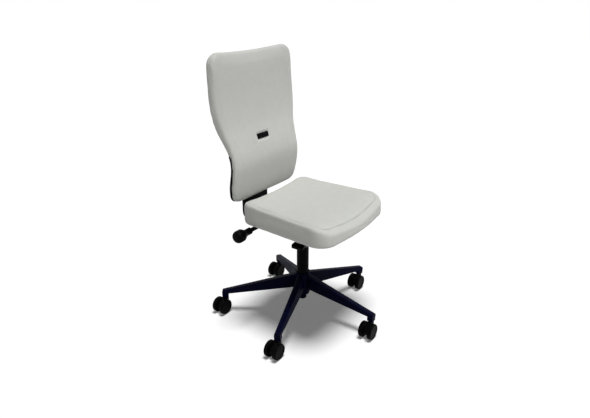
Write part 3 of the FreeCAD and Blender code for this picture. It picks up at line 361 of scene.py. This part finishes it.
PATCH_SHADE = (0.955, 0.957, 0.95, 1.0)     # darkest of the cloth's soft patches
SEAM_SHADE_DARKNESS = 0.52                            # painted shade at the bottom of a seam's valley, as a tone beside the dark thread
CLOTH_RELIEF = 0.00035                      # height of the yarns, in metres
GRAIN_RELIEF = 0.0002                       # height of the moulded grain, in metres
COAT_RELIEF = 0.00025                       # height of the orange peel, in metres
METAL_RELIEF = 0.0001                       # depth of the marks in plated metal, in metres
SCUFF_SHARE = 0.30                          # how far a scuff lightens the plastic
SCUFF_GAIN = 3.2                            # tone of a scuff beside the plastic
SCUFF_ROUGH = 0.08                          # how much rougher a scuff is


def upholstery_cloth():
    """Pale grey woven cover, drawn in along its seams, with painted shade darkening the seam valleys."""
    made = bpy.data.materials.get("upholstery_cloth")
    if made:
        return made
    look = bpy.context.scene.chair_upholstery
    material, tree, shader, place = blank("upholstery_cloth")
    cloth = put(tree, "ShaderNodeGroup", {"node_tree": woven_cloth()},
                {"Vector": place["Object"], "Normal": place["Normal"], "Pitch": look.thread}).outputs
    tone = spread(tree, cloth["Tone"], 0.1, 0.9, 0.0, 1.0)
    threads = blend_colours(tree, tone, rgba(look.dark_thread), rgba(look.light_thread))
    patch = spread(tree, cloth["Patch"], 0.3, 0.7, 0.0, 1.0)
    shaded = blend_colours(tree, patch, PATCH_SHADE, (1.0, 1.0, 1.0, 1.0))
    body = blend_colours(tree, 1.0, threads, shaded, "MULTIPLY")
    # Painted shade: the seam attribute darkens the cloth along the bottoms of the seam valleys
    seam = put(tree, "ShaderNodeAttribute", {"attribute_name": "seam"}).outputs["Fac"]
    seam_shaded = blend_colours(tree, seam, body, rgba(look.dark_thread, SEAM_SHADE_DARKNESS))
    feed(tree, shader.inputs["Base Color"], seam_shaded)
    feed(tree, shader.inputs["Roughness"], spread(tree, cloth["Tone"], 0.0, 1.0, 0.95, 0.82))
    shader.inputs["Specular IOR Level"].default_value = 0.2
    shader.inputs["Sheen Weight"].default_value = 0.12
    shader.inputs["Sheen Roughness"].default_value = 0.45
    bump(tree, shader, cloth["Height"], 0.45, CLOTH_RELIEF)
    return material


def moulded(name, base, grain, strength, dull, sharp, specular):
    """Grained moulding with flow patches and scuffs."""
    material, tree, shader, place = blank(name)
    skin = put(tree, "ShaderNodeGroup", {"node_tree": moulded_grain()},
               {"Vector": place["Object"], "Grain": grain}).outputs
    patch = spread(tree, skin["Patch"], 0.32, 0.68, 0.0, 1.0)
    body = blend_colours(tree, patch, rgba(base, 0.78), rgba(base, 1.25))
    worn = blend_colours(tree, maths(tree, "MULTIPLY", skin["Scuff"], SCUFF_SHARE), body,
                         rgba(base, SCUFF_GAIN))
    feed(tree, shader.inputs["Base Color"], worn)
    rough = spread(tree, skin["Patch"], 0.3, 0.7, sharp, dull)
    scuffed = maths(tree, "MULTIPLY", skin["Scuff"], SCUFF_ROUGH)
    feed(tree, shader.inputs["Roughness"], maths(tree, "ADD", rough, scuffed))
    shader.inputs["Specular IOR Level"].default_value = specular
    bump(tree, shader, skin["Height"], strength, GRAIN_RELIEF)
    return material


def coated(name, base, peel, strength, dull, sharp, specular):
    """Baked coat on metal."""
    material, tree, shader, place = blank(name)
    skin = put(tree, "ShaderNodeGroup", {"node_tree": coat_texture()},
               {"Vector": place["Object"], "Peel": peel}).outputs
    patch = spread(tree, skin["Patch"], 0.3, 0.7, 0.0, 1.0)
    feed(tree, shader.inputs["Base Color"], blend_colours(tree, patch, rgba(base, 0.8), rgba(base, 1.3)))
    feed(tree, shader.inputs["Roughness"], spread(tree, skin["Patch"], 0.3, 0.7, sharp, dull))
    shader.inputs["Specular IOR Level"].default_value = specular
    bump(tree, shader, skin["Height"], strength, COAT_RELIEF)
    return material


def plated(name, base, along, dull, sharp, strength):
    """Bare plated metal with drawn or turned marks."""
    material, tree, shader, place = blank(name)
    skin = put(tree, "ShaderNodeGroup", {"node_tree": metal_lines()},
               {"Vector": place["Object"], "Along": along}).outputs
    cloud = spread(tree, skin["Cloud"], 0.3, 0.7, 0.0, 1.0)
    feed(tree, shader.inputs["Base Color"], blend_colours(tree, cloud, rgba(base, 0.86), rgba(base, 1.08)))
    feed(tree, shader.inputs["Roughness"], spread(tree, skin["Lines"], 0.3, 0.7, sharp, dull))
    shader.inputs["Metallic"].default_value = 1.0
    bump(tree, shader, skin["Lines"], strength, METAL_RELIEF)
    return material


# Mouldings by slot: material, colour, grain per metre, bump, dullest and sharpest roughness, specular level
MOULDED = {
    "base": ("star_base_moulding", "star", 700.0, 0.10, 0.52, 0.40, 0.03),
    "caster": ("caster_nylon", "tyre", 800.0, 0.12, 0.50, 0.36, 0.025),
    "shell": ("back_shell_moulding", "moulding", 620.0, 0.30, 0.66, 0.52, 0.05),
    "carrier": ("carrier_nylon", "moulding", 760.0, 0.26, 0.62, 0.48, 0.03),
    "pan": ("seat_pan_moulding", "moulding", 520.0, 0.32, 0.70, 0.55, 0.12),
    "grip": ("control_grip", "tyre", 1000.0, 0.10, 0.48, 0.34, 0.03),
    "bush": ("guide_bush_acetal", "moulding", 1200.0, 0.06, 0.42, 0.32, 0.25),
    "tag": ("plate_smooth_black", "gloss", 1600.0, 0.04, 0.34, 0.24, 0.03),
}
# Coats by slot: material, colour, orange peel per metre, bump, dullest and sharpest roughness, specular level
COATED = {
    "column": ("column_powder_coat", "paint", 620.0, 0.22, 0.50, 0.36, 0.03),
    "cylinder": ("cylinder_satin_black", "paint", 1500.0, 0.06, 0.36, 0.26, 0.10),
    "mechanism": ("mechanism_black_paint", "paint", 520.0, 0.30, 0.58, 0.42, 0.06),
}
# Bare metals by slot: material, colour, marks per metre on each axis, dullest and sharpest roughness, bump
PLATED = {
    "rod": ("rod_hard_chrome", "chrome", (2600.0, 2600.0, 60.0), 0.16, 0.08, 0.02),
    "steel": ("zinc_plated_steel", "zinc", (60.0, 2200.0, 2200.0), 0.42, 0.26, 0.10),
}


def finish_for(slot):
    """The material of one of the record's finishes."""
    if slot == "upholstery":
        return upholstery_cloth()
    look = bpy.context.scene.chair_finishes
    for make, table in ((moulded, MOULDED), (coated, COATED), (plated, PLATED)):
        if slot in table:
            name, base, *values = table[slot]
            return bpy.data.materials.get(name) or make(name, getattr(look, base), *values)
    raise RuntimeError("no finish for the slot " + slot)


SLOTS = {entry["node"]: entry["material_slot"] for entry in frame["record"]["subparts"]}


def dress(names):
    """Gives solid pieces of the frame their finish."""
    for name in names:
        node = frame["nodes"][name]
        finish = finish_for(SLOTS[name])
        if not node.material_slots:
            node.data.materials.append(finish)
        for held in node.material_slots:
            held.material = finish


# Padding

MERGE = 1e-5                    # points closer than this are one, in metres
CUSHION_RELAX = 4               # rounds of evening out for a cushion's cells
PAD_RELAX = 3                   # the same for the rear pad
HEM_RELAX = 2                   # the same for the rear pad's hem
BACK_CELL = 1.05                # cell size of the back cushion, beside the seat's
PAD_CELL = 0.8                  # cell size of the rear pad, beside the seat's
COVER_QUALITY = 5               # substeps of the swelling
COVER_MASS = 0.3                # mass of a point of the cover, in kg
HELD_BELOW = 0.999              # points freer than this are left out of the held ones
FREE_ABOVE = 0.9                # points freer than this tell how far the cover shrank
BACK_FREE = (-0.35, 0.25)       # the back's cover comes free between these forward facings
PAD_FREE = (0.25, 0.75)         # the rear pad's cover comes free between these rearward facings
SEAT_HELD = (0.006, 0.022)      # the seat's cover comes free between these heights above its underside
SEAT_PLAN_FROM = 0.02           # the seat's plan outline is taken above this height
SEAM_FORWARD = (0.12, 0.23)     # the seam's inset changes to the front's between these distances
SEAM_TOP = (0.15, 0.45)         # upward facing between which the seam appears
SEAM_UNEVEN = (0.78, 0.22)      # even share of the seam's depth, and the share that comes and goes
SEAM_WAVES = (61.0, 43.0)       # how often it comes and goes along X and Y, in radians per metre
SEAM_ROLL = 0.0012              # roll of the cover inside the seam
SEAM_ROLL_AT = 2.6              # middle of the roll, in widths of the seam
SEAM_ROLL_WIDE = 1.6            # width of the roll, in widths of the seam
SEAM_SHADE_NARROWING = 2.6               # how much narrower the painted shade line is than the seam's valley
SEAM_SHADE_SHARE = (0.28, 0.34)      # darkness of the painted shade in the seam's valley, and what the front adds
DIMPLE_WIDE = 0.010             # the cover is drawn in this far round the plate
DIMPLE_DEPTH = 0.0022           # how deep it is drawn in there
DIMPLE_FRONT = (0.3, 0.7)       # forward facing between which it is drawn in
BACK_ARCH = 0.19                # half width over which the back's top dips and its foot hangs
TOP_DIP_TALL = 0.09             # height over which the top dips
LOW_BOW_RANGE = (0.06, 0.01)    # the foot hangs between these heights
HEM_TALL = 0.05                 # height over which the rear pad's lower hem stands off
HEM_REAR = 0.3                  # rearward facing above which the lower hem stands off
HEM_RIM = (0.20, 0.65)          # sideways facing between which the rear pad's hem reaches out
HEM_BESIDE = (-0.60, -0.20)     # downward facing at which the hem keeps its place


def merged_copy(node_name, piece_name):
    """A new object with the merged mesh of a solid piece."""
    source = frame["nodes"][node_name]
    shape = bmesh.new()
    shape.from_mesh(source.data)
    shape.transform(source.matrix_world)
    bmesh.ops.remove_doubles(shape, verts=shape.verts, dist=MERGE)
    bmesh.ops.recalc_face_normals(shape, faces=shape.faces)
    mesh = bpy.data.meshes.new(piece_name)
    shape.to_mesh(mesh)
    shape.free()
    piece = bpy.data.objects.new(piece_name, mesh)
    bpy.context.scene.collection.objects.link(piece)
    return piece


def apply_modifiers(piece):
    """Makes the modified shape the piece's own mesh."""
    bpy.context.view_layer.update()
    graph = bpy.context.evaluated_depsgraph_get()
    mesh = bpy.data.meshes.new_from_object(piece.evaluated_get(graph))
    piece.modifiers.clear()
    old = piece.data
    piece.data = mesh
    mesh.name = piece.name
    bpy.data.meshes.remove(old)


def points(mesh):
    """Places of a mesh's points."""
    flat = np.empty(len(mesh.vertices) * 3)
    mesh.vertices.foreach_get("co", flat)
    return flat.reshape(-1, 3)


def facings(mesh):
    """Outward directions at a mesh's points."""
    flat = np.empty(len(mesh.vertices) * 3)
    mesh.vertices.foreach_get("normal", flat)
    return flat.reshape(-1, 3)


def set_points(mesh, places):
    mesh.vertices.foreach_set("co", places.reshape(-1))
    mesh.update()


def ramp(value, low, high):
    """Smooth rise from 0 to 1 between two values."""
    share = np.clip((value - low) / (high - low), 0.0, 1.0)
    return share * share * (3.0 - 2.0 * share)


def relax(piece, repeats):
    """Evens the cells out and rounds the form's corners a little."""
    shape = bmesh.new()
    shape.from_mesh(piece.data)
    for _ in range(repeats):
        bmesh.ops.smooth_vert(shape, verts=shape.verts, factor=0.5, use_axis_x=True,
                              use_axis_y=True, use_axis_z=True)
    shape.to_mesh(piece.data)
    shape.free()


def remesh(piece, voxel):
    """Gives a piece even cells."""
    cells = piece.modifiers.new("cells", "REMESH")
    cells.mode = "VOXEL"
    cells.voxel_size = voxel
    apply_modifiers(piece)


def swell(piece, free):
    """Fills the cover under pressure. free is 1 where a point may move and 0 where it rests on something."""
    scene = bpy.context.scene
    look = scene.chair_padding
    mesh = piece.data
    form, outward = points(mesh), facings(mesh)
    start = form - outward * (free * look.slack)[:, None]
    set_points(mesh, start)
    held = piece.vertex_groups.new(name="held")
    for index in np.nonzero(free < HELD_BELOW)[0]:
        held.add([int(index)], float(1.0 - free[index]), "REPLACE")
    cloth = piece.modifiers.new("filling", "CLOTH")
    cloth.settings.quality = COVER_QUALITY
    cloth.settings.mass = COVER_MASS
    cloth.settings.vertex_group_mass = "held"
    cloth.settings.use_pressure = True
    cloth.settings.uniform_pressure_force = look.pressure
    cloth.settings.effector_weights.gravity = 0.0
    cloth.point_cache.frame_start = 1
    cloth.point_cache.frame_end = look.steps
    for number in range(1, look.steps + 1):
        scene.frame_set(number)
    graph = bpy.context.evaluated_depsgraph_get()
    filled = piece.evaluated_get(graph).to_mesh()
    moves = points(filled) - start
    piece.evaluated_get(graph).to_mesh_clear()
    piece.modifiers.clear()
    piece.vertex_groups.clear()
    scene.frame_set(1)
    sizes = np.maximum(np.linalg.norm(moves, axis=1), 1e-9)
    kept = np.minimum(sizes, look.most) / sizes * free
    folds = start + moves * kept[:, None] - form
    shrunk = (folds * outward).sum(axis=1)[free > FREE_ABOVE].mean()
    folds -= outward * (free * shrunk)[:, None]
    set_points(mesh, form + folds * look.loose)


def subdivide(piece):
    """Makes a piece's cells finer."""
    finer = piece.modifiers.new("finer", "SUBSURF")
    finer.levels = 1
    finer.render_levels = 1
    apply_modifiers(piece)


def inside_outline(places, outline):
    """How far points lie inside a convex outline, in plan."""
    ends = np.roll(outline, -1, axis=0)
    along = ends - outline
    sizes = np.linalg.norm(along, axis=1)
    inward = np.stack([-along[:, 1], along[:, 0]], axis=1) / sizes[:, None]
    middle = outline.mean(axis=0)
    if ((middle - outline[0]) * inward[0]).sum() < 0.0:
        inward = -inward
    depth = np.full(len(places), 1.0)
    for corner, normal in zip(outline, inward):
        depth = np.minimum(depth, (places[:, :2] - corner) @ normal)
    return depth


def paint_seam_shade(mesh, share):
    """Keeps the share of painted seam shade at each point, for the cloth's material."""
    layer = mesh.attributes.new("seam", "FLOAT", "POINT")
    layer.data.foreach_set("value", share.astype(np.float32))


def finish_pad(piece, node, body):
    """Last steps that every cushion shares."""
    mesh = piece.data
    mesh.polygons.foreach_set("use_smooth", np.ones(len(mesh.polygons), dtype=bool))
    mesh.materials.clear()
    mesh.materials.append(upholstery_cloth())
    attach(piece, body)
    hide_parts(node)


class CHAIR_OT_seat_cushion(bpy.types.Operator):
    """Makes the filled seat cushion with the sewn edge of its top panel, and painted shade along that seam"""
    bl_idname = "chair.seat_cushion"
    bl_label = "Seat cushion"

    def execute(self, context):
        look = context.scene.chair_upholstery
        piece = merged_copy("seat_cushion", "seat_cushion_padding")
        remesh(piece, context.scene.chair_padding.voxel)
        relax(piece, CUSHION_RELAX)
        places = points(piece.data)
        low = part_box("seat_cushion")[0][2]
        swell(piece, ramp(places[:, 2], low + SEAT_HELD[0], low + SEAT_HELD[1]))
        subdivide(piece)
        mesh = piece.data
        places, outward = points(mesh), facings(mesh)
        upper = places[places[:, 2] > low + SEAT_PLAN_FROM][:, :2]
        outline = upper[convex_hull_2d([tuple(spot) for spot in upper])]
        depth = inside_outline(places, outline)
        forward = ramp(-places[:, 1], *SEAM_FORWARD)
        inset = look.side_inset + (look.front_inset - look.side_inset) * forward
        gap = (depth - inset) / look.seam_width
        top = ramp(outward[:, 2], *SEAM_TOP)
        waves = np.sin(places[:, 0] * SEAM_WAVES[0] + 2.0 * np.sin(places[:, 1] * SEAM_WAVES[1]))
        uneven = SEAM_UNEVEN[0] + SEAM_UNEVEN[1] * waves
        valley = np.exp(-gap * gap) * top * uneven
        roll = np.exp(-((gap - SEAM_ROLL_AT) / SEAM_ROLL_WIDE) ** 2) * top
        shift = SEAM_ROLL * roll - look.seam_depth * valley
        set_points(mesh, places + outward * shift[:, None])
        # Painted shade along the bottom of the seam valley, darker towards the front
        tone = SEAM_SHADE_SHARE[0] + SEAM_SHADE_SHARE[1] * forward
        paint_seam_shade(mesh, np.exp(-(gap * SEAM_SHADE_NARROWING) ** 2) * top * uneven * tone)
        finish_pad(piece, "seat_cushion", "seat")
        return {"FINISHED"}


class CHAIR_OT_back_cushion(bpy.types.Operator):
    """Makes the filled front of the back, drawn in round its plate"""
    bl_idname = "chair.back_cushion"
    bl_label = "Back cushion"

    def execute(self, context):
        look = context.scene.chair_upholstery
        piece = merged_copy("back_cushion", "back_cushion_padding")
        remesh(piece, context.scene.chair_padding.voxel * BACK_CELL)
        relax(piece, CUSHION_RELAX)
        outward = facings(piece.data)
        swell(piece, ramp(-outward[:, 1], *BACK_FREE))
        subdivide(piece)
        mesh = piece.data
        places, outward = points(mesh), facings(mesh)
        low, high = (np.array(corner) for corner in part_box("back_plate"))
        middle = (low + high) / 2.0
        away = np.maximum(np.abs(places[:, 0] - middle[0]) - (high[0] - low[0]) / 2.0, 0.0)
        above = np.maximum(np.abs(places[:, 2] - middle[2]) - (high[2] - low[2]) / 2.0, 0.0)
        near = 1.0 - ramp(np.hypot(away, above), 0.0, DIMPLE_WIDE)
        front = ramp(-outward[:, 1], *DIMPLE_FRONT)
        places = places - outward * (DIMPLE_DEPTH * near * front)[:, None]
        edge = np.clip(2.0 * np.abs(outward[:, 0]) * np.maximum(-outward[:, 1], 0.0), 0.0, 1.0)
        places = places + outward * (look.edge_fill * edge * edge)[:, None]
        across = np.clip(places[:, 0] / BACK_ARCH, -1.0, 1.0)
        arch = 1.0 - across * across
        foot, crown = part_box("back_cushion")[0][2], CAD_BOX[1][2]
        tall, low_end = LOW_BOW_RANGE
        places[:, 2] -= look.top_dip * arch * ramp(places[:, 2], crown - TOP_DIP_TALL, crown)
        places[:, 2] -= look.low_bow * arch * ramp(-places[:, 2], -foot - tall, -foot - low_end)
        set_points(mesh, places)
        paint_seam_shade(mesh, np.zeros(len(places)))
        finish_pad(piece, "back_cushion", "back")
        return {"FINISHED"}


class CHAIR_OT_rear_pad(bpy.types.Operator):
    """Makes the filled panel on the rear of the back"""
    bl_idname = "chair.rear_pad"
    bl_label = "Rear pad"

    def execute(self, context):
        look = context.scene.chair_upholstery
        piece = merged_copy("back_rear_pad", "back_rear_padding")
        places, outward = points(piece.data), facings(piece.data)
        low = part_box("back_rear_pad")[0][2]
        lower = 1.0 - ramp(places[:, 2], low, low + HEM_TALL)
        places[:, 1] += look.hem_thick * lower * (outward[:, 1] > HEM_REAR)
        set_points(piece.data, places)
        remesh(piece, context.scene.chair_padding.voxel * PAD_CELL)
        relax(piece, PAD_RELAX)
        outward = facings(piece.data)
        swell(piece, ramp(outward[:, 1], *PAD_FREE))
        subdivide(piece)
        mesh = piece.data
        places, outward = points(mesh), facings(mesh)
        rim = ramp(1.0 - np.abs(outward[:, 1]), *HEM_RIM)
        beside = ramp(outward[:, 2], *HEM_BESIDE)
        set_points(mesh, places + outward * (look.rear_hem * rim * beside)[:, None])
        relax(piece, HEM_RELAX)
        paint_seam_shade(mesh, np.zeros(len(places)))
        finish_pad(piece, "back_rear_pad", "back")
        return {"FINISHED"}


class CHAIR_OT_back_frame(bpy.types.Operator):
    """Finishes the back's shell, plate, carrier and screws"""
    bl_idname = "chair.back_frame"
    bl_label = "Back frame"

    def execute(self, context):
        dress(["back_shell", "back_plate", "back_carrier", "back_screws"])
        return {"FINISHED"}


class CHAIR_OT_seat_frame(bpy.types.Operator):
    """Finishes the seat's pan, plate, screws and link pin"""
    bl_idname = "chair.seat_frame"
    bl_label = "Seat frame"

    def execute(self, context):
        dress(["seat_pan", "seat_plate", "seat_screws", "link_pin"])
        return {"FINISHED"}


class CHAIR_OT_mechanism(bpy.types.Operator):
    """Finishes the tilt mechanism under the seat"""
    bl_idname = "chair.mechanism"
    bl_label = "Tilt mechanism"

    def execute(self, context):
        dress(["mechanism_housing", "main_shaft", "front_shaft", "shaft_clips", "lever_pin",
               "tension_spring"])
        return {"FINISHED"}


class CHAIR_OT_controls(bpy.types.Operator):
    """Finishes the lift lever and the tension knob"""
    bl_idname = "chair.controls"
    bl_label = "Lever and knob"

    def execute(self, context):
        dress(["lift_lever", "lever_paddle", "tension_shaft", "tension_collar", "tension_knob",
               "tension_nut"])
        return {"FINISHED"}


class CHAIR_OT_column(bpy.types.Operator):
    """Finishes the gas column"""
    bl_idname = "chair.column"
    bl_label = "Gas column"

    def execute(self, context):
        dress(["column_tube", "column_guide_bush", "column_end_cap", "gas_cylinder", "piston_rod",
               "bearing_race_lower", "bearing_race_upper", "rod_clip", "release_pin"])
        return {"FINISHED"}


class CHAIR_OT_star_base(bpy.types.Operator):
    """Finishes the five-star base and the rings in its sockets"""
    bl_idname = "chair.star_base"
    bl_label = "Star base"

    def execute(self, context):
        dress(["star_base", "caster_grip_rings"])
        return {"FINISHED"}


class CHAIR_OT_casters(bpy.types.Operator):
    """Finishes the five twin-wheel casters"""
    bl_idname = "chair.casters"
    bl_label = "Casters"

    def execute(self, context):
        parts = ("caster_stem_", "caster_body_", "caster_axle_", "caster_wheel_front_", "caster_wheel_rear_")
        dress(name for name in sorted(frame["nodes"]) if name.startswith(parts))
        return {"FINISHED"}


# Studio

# Lamps: direction towards the lamp, its spread in degrees, and whether it lights the floor or all else
LAMPS = {
    "overhead": ((0.0, -0.12, 1.0), 20.0, True),
    "key": ((0.0, -0.37, 0.93), 36.0, False),
    "fill": ((-0.50, -0.75, 0.43), 46.0, False),
    "rear": ((0.30, 0.90, 0.30), 60.0, False),
}
LAMP_AWAY = 4.0         # where a lamp's holder stands, in metres
FLOOR_HALF = 14.0       # half the floor's side, in metres


def lamp(name, towards, strength, spread_degrees, floor, on_floor):
    """A distant soft lamp in the given direction, which lights either the floor or all else."""
    light = bpy.data.lights.new(name, "SUN")
    light.energy = strength
    light.angle = math.radians(spread_degrees)
    holder = bpy.data.objects.new(name, light)
    holder.location = Vector(towards).normalized() * LAMP_AWAY
    holder.rotation_euler = Vector(towards).to_track_quat("Z", "Y").to_euler()
    bpy.context.scene.collection.objects.link(holder)
    lit = bpy.data.collections.new(name + "_lights")
    lit.objects.link(floor)
    lit.collection_objects[0].light_linking.link_state = "INCLUDE" if on_floor else "EXCLUDE"
    holder.light_linking.receiver_collection = lit
    return holder


def pass_back(holder):
    """Lets a lamp's light past the chair's back, whose soft shadow would spread far over the floor."""
    clear = bpy.data.collections.new(holder.name + "_passes")
    for piece in bpy.data.objects:
        if piece.type == "MESH" and "back" in (body_of(piece) or ()):
            clear.objects.link(piece)
    for entry in clear.collection_objects:
        entry.light_linking.link_state = "EXCLUDE"
    holder.light_linking.blocker_collection = clear


def seen_directly(tree):
    """1 for rays from the camera, a mirror or glass, and 0 for rays that carry light."""
    path = tree.nodes.new("ShaderNodeLightPath").outputs
    shiny = maths(tree, "MAXIMUM", path["Is Glossy Ray"], path["Is Transmission Ray"])
    return maths(tree, "MAXIMUM", path["Is Camera Ray"], shiny)


class CHAIR_OT_studio(bpy.types.Operator):
    """Sets up the floor, the light and the camera"""
    bl_idname = "chair.studio"
    bl_label = "Studio"

    def execute(self, context):
        look = context.scene.chair_studio
        floor = self.lay_floor(context, look)
        self.hang_light(context, look, floor)
        self.place_camera(context, look)
        context.scene.view_settings.view_transform = "Standard"
        return {"FINISHED"}

    def lay_floor(self, context, look):
        shape = bmesh.new()
        bmesh.ops.create_grid(shape, x_segments=1, y_segments=1, size=FLOOR_HALF)
        mesh = bpy.data.meshes.new("studio_floor")
        shape.to_mesh(mesh)
        shape.free()
        floor = bpy.data.objects.new("studio_floor", mesh)
        context.scene.collection.objects.link(floor)
        material, tree, shader, _ = blank("floor_pale")
        seen = seen_directly(tree)
        tone = blend_colours(tree, seen, rgba(look.bounce), rgba(look.floor))
        feed(tree, shader.inputs["Base Color"], tone)
        shader.inputs["Roughness"].default_value = 0.95
        shader.inputs["Specular IOR Level"].default_value = 0.0
        shader.inputs["Emission Color"].default_value = (1.0, 1.0, 1.0, 1.0)
        feed(tree, shader.inputs["Emission Strength"], maths(tree, "MULTIPLY", seen, look.glow))
        mesh.materials.append(material)
        return floor

    def hang_light(self, context, look, floor):
        world = bpy.data.worlds.new("studio_sky")
        world.use_nodes = True
        tree = world.node_tree
        tree.nodes.clear()
        bright = (1.0, 1.0, 1.0, 1.0)
        glow = put(tree, "ShaderNodeBackground", None, {"Color": bright, "Strength": look.sky})
        white = put(tree, "ShaderNodeBackground", None, {"Color": bright, "Strength": 1.0})
        either = put(tree, "ShaderNodeMixShader", None,
                     {0: seen_directly(tree), 1: glow.outputs[0], 2: white.outputs[0]})
        out = tree.nodes.new("ShaderNodeOutputWorld")
        feed(tree, out.inputs["Surface"], either.outputs[0])
        context.scene.world = world
        for name, (towards, spread_degrees, on_floor) in LAMPS.items():
            holder = lamp(name + "_light", towards, getattr(look, name), spread_degrees, floor, on_floor)
            if on_floor:
                pass_back(holder)

    def place_camera(self, context, look):
        data = bpy.data.cameras.new("photo_camera")
        data.sensor_width = 36.0
        data.sensor_fit = "HORIZONTAL"
        data.lens = look.lens
        camera = bpy.data.objects.new("photo_camera", data)
        camera.location = look.eye
        facing = Vector(look.target) - Vector(look.eye)
        camera.rotation_euler = facing.to_track_quat("-Z", "Y").to_euler()
        context.scene.collection.objects.link(camera)
        context.scene.camera = camera


class CHAIR_PT_panel(bpy.types.Panel):
    """Lists the chair's pieces and the values behind them"""
    bl_idname = "CHAIR_PT_panel"
    bl_label = "Office chair"
    bl_space_type = "VIEW_3D"
    bl_region_type = "UI"
    bl_category = "Chair"

    def draw(self, context):
        for holder in HOLDERS:
            box = self.layout.box()
            group = getattr(context.scene, holder)
            for key in group.bl_rna.properties.keys():
                if key not in ("rna_type", "name"):
                    box.prop(group, key)
        for operator in OPERATORS:
            self.layout.operator(operator.bl_idname)


HOLDERS = {
    "chair_upholstery": ChairUpholstery,
    "chair_padding": ChairPadding,
    "chair_finishes": ChairFinishes,
    "chair_studio": ChairStudio,
}
OPERATORS = (
    CHAIR_OT_seat_cushion,
    CHAIR_OT_back_cushion,
    CHAIR_OT_rear_pad,
    CHAIR_OT_back_frame,
    CHAIR_OT_seat_frame,
    CHAIR_OT_mechanism,
    CHAIR_OT_controls,
    CHAIR_OT_column,
    CHAIR_OT_star_base,
    CHAIR_OT_casters,
    CHAIR_OT_studio,
)
CLASSES = tuple(HOLDERS.values()) + OPERATORS + (CHAIR_PT_panel,)


def register():
    for made in CLASSES:
        bpy.utils.register_class(made)
    for holder, kind in HOLDERS.items():
        setattr(bpy.types.Scene, holder, PointerProperty(type=kind))


def unregister():
    for holder in HOLDERS:
        delattr(bpy.types.Scene, holder)
    for made in reversed(CLASSES):
        bpy.utils.unregister_class(made)


def main():
    register()
    bpy.ops.chair.seat_cushion()
    bpy.ops.chair.back_cushion()
    bpy.ops.chair.rear_pad()
    bpy.ops.chair.back_frame()
    bpy.ops.chair.seat_frame()
    bpy.ops.chair.mechanism()
    bpy.ops.chair.controls()
    bpy.ops.chair.column()
    bpy.ops.chair.star_base()
    bpy.ops.chair.casters()
    bpy.ops.chair.studio()


if __name__ == "__main__":
    main()
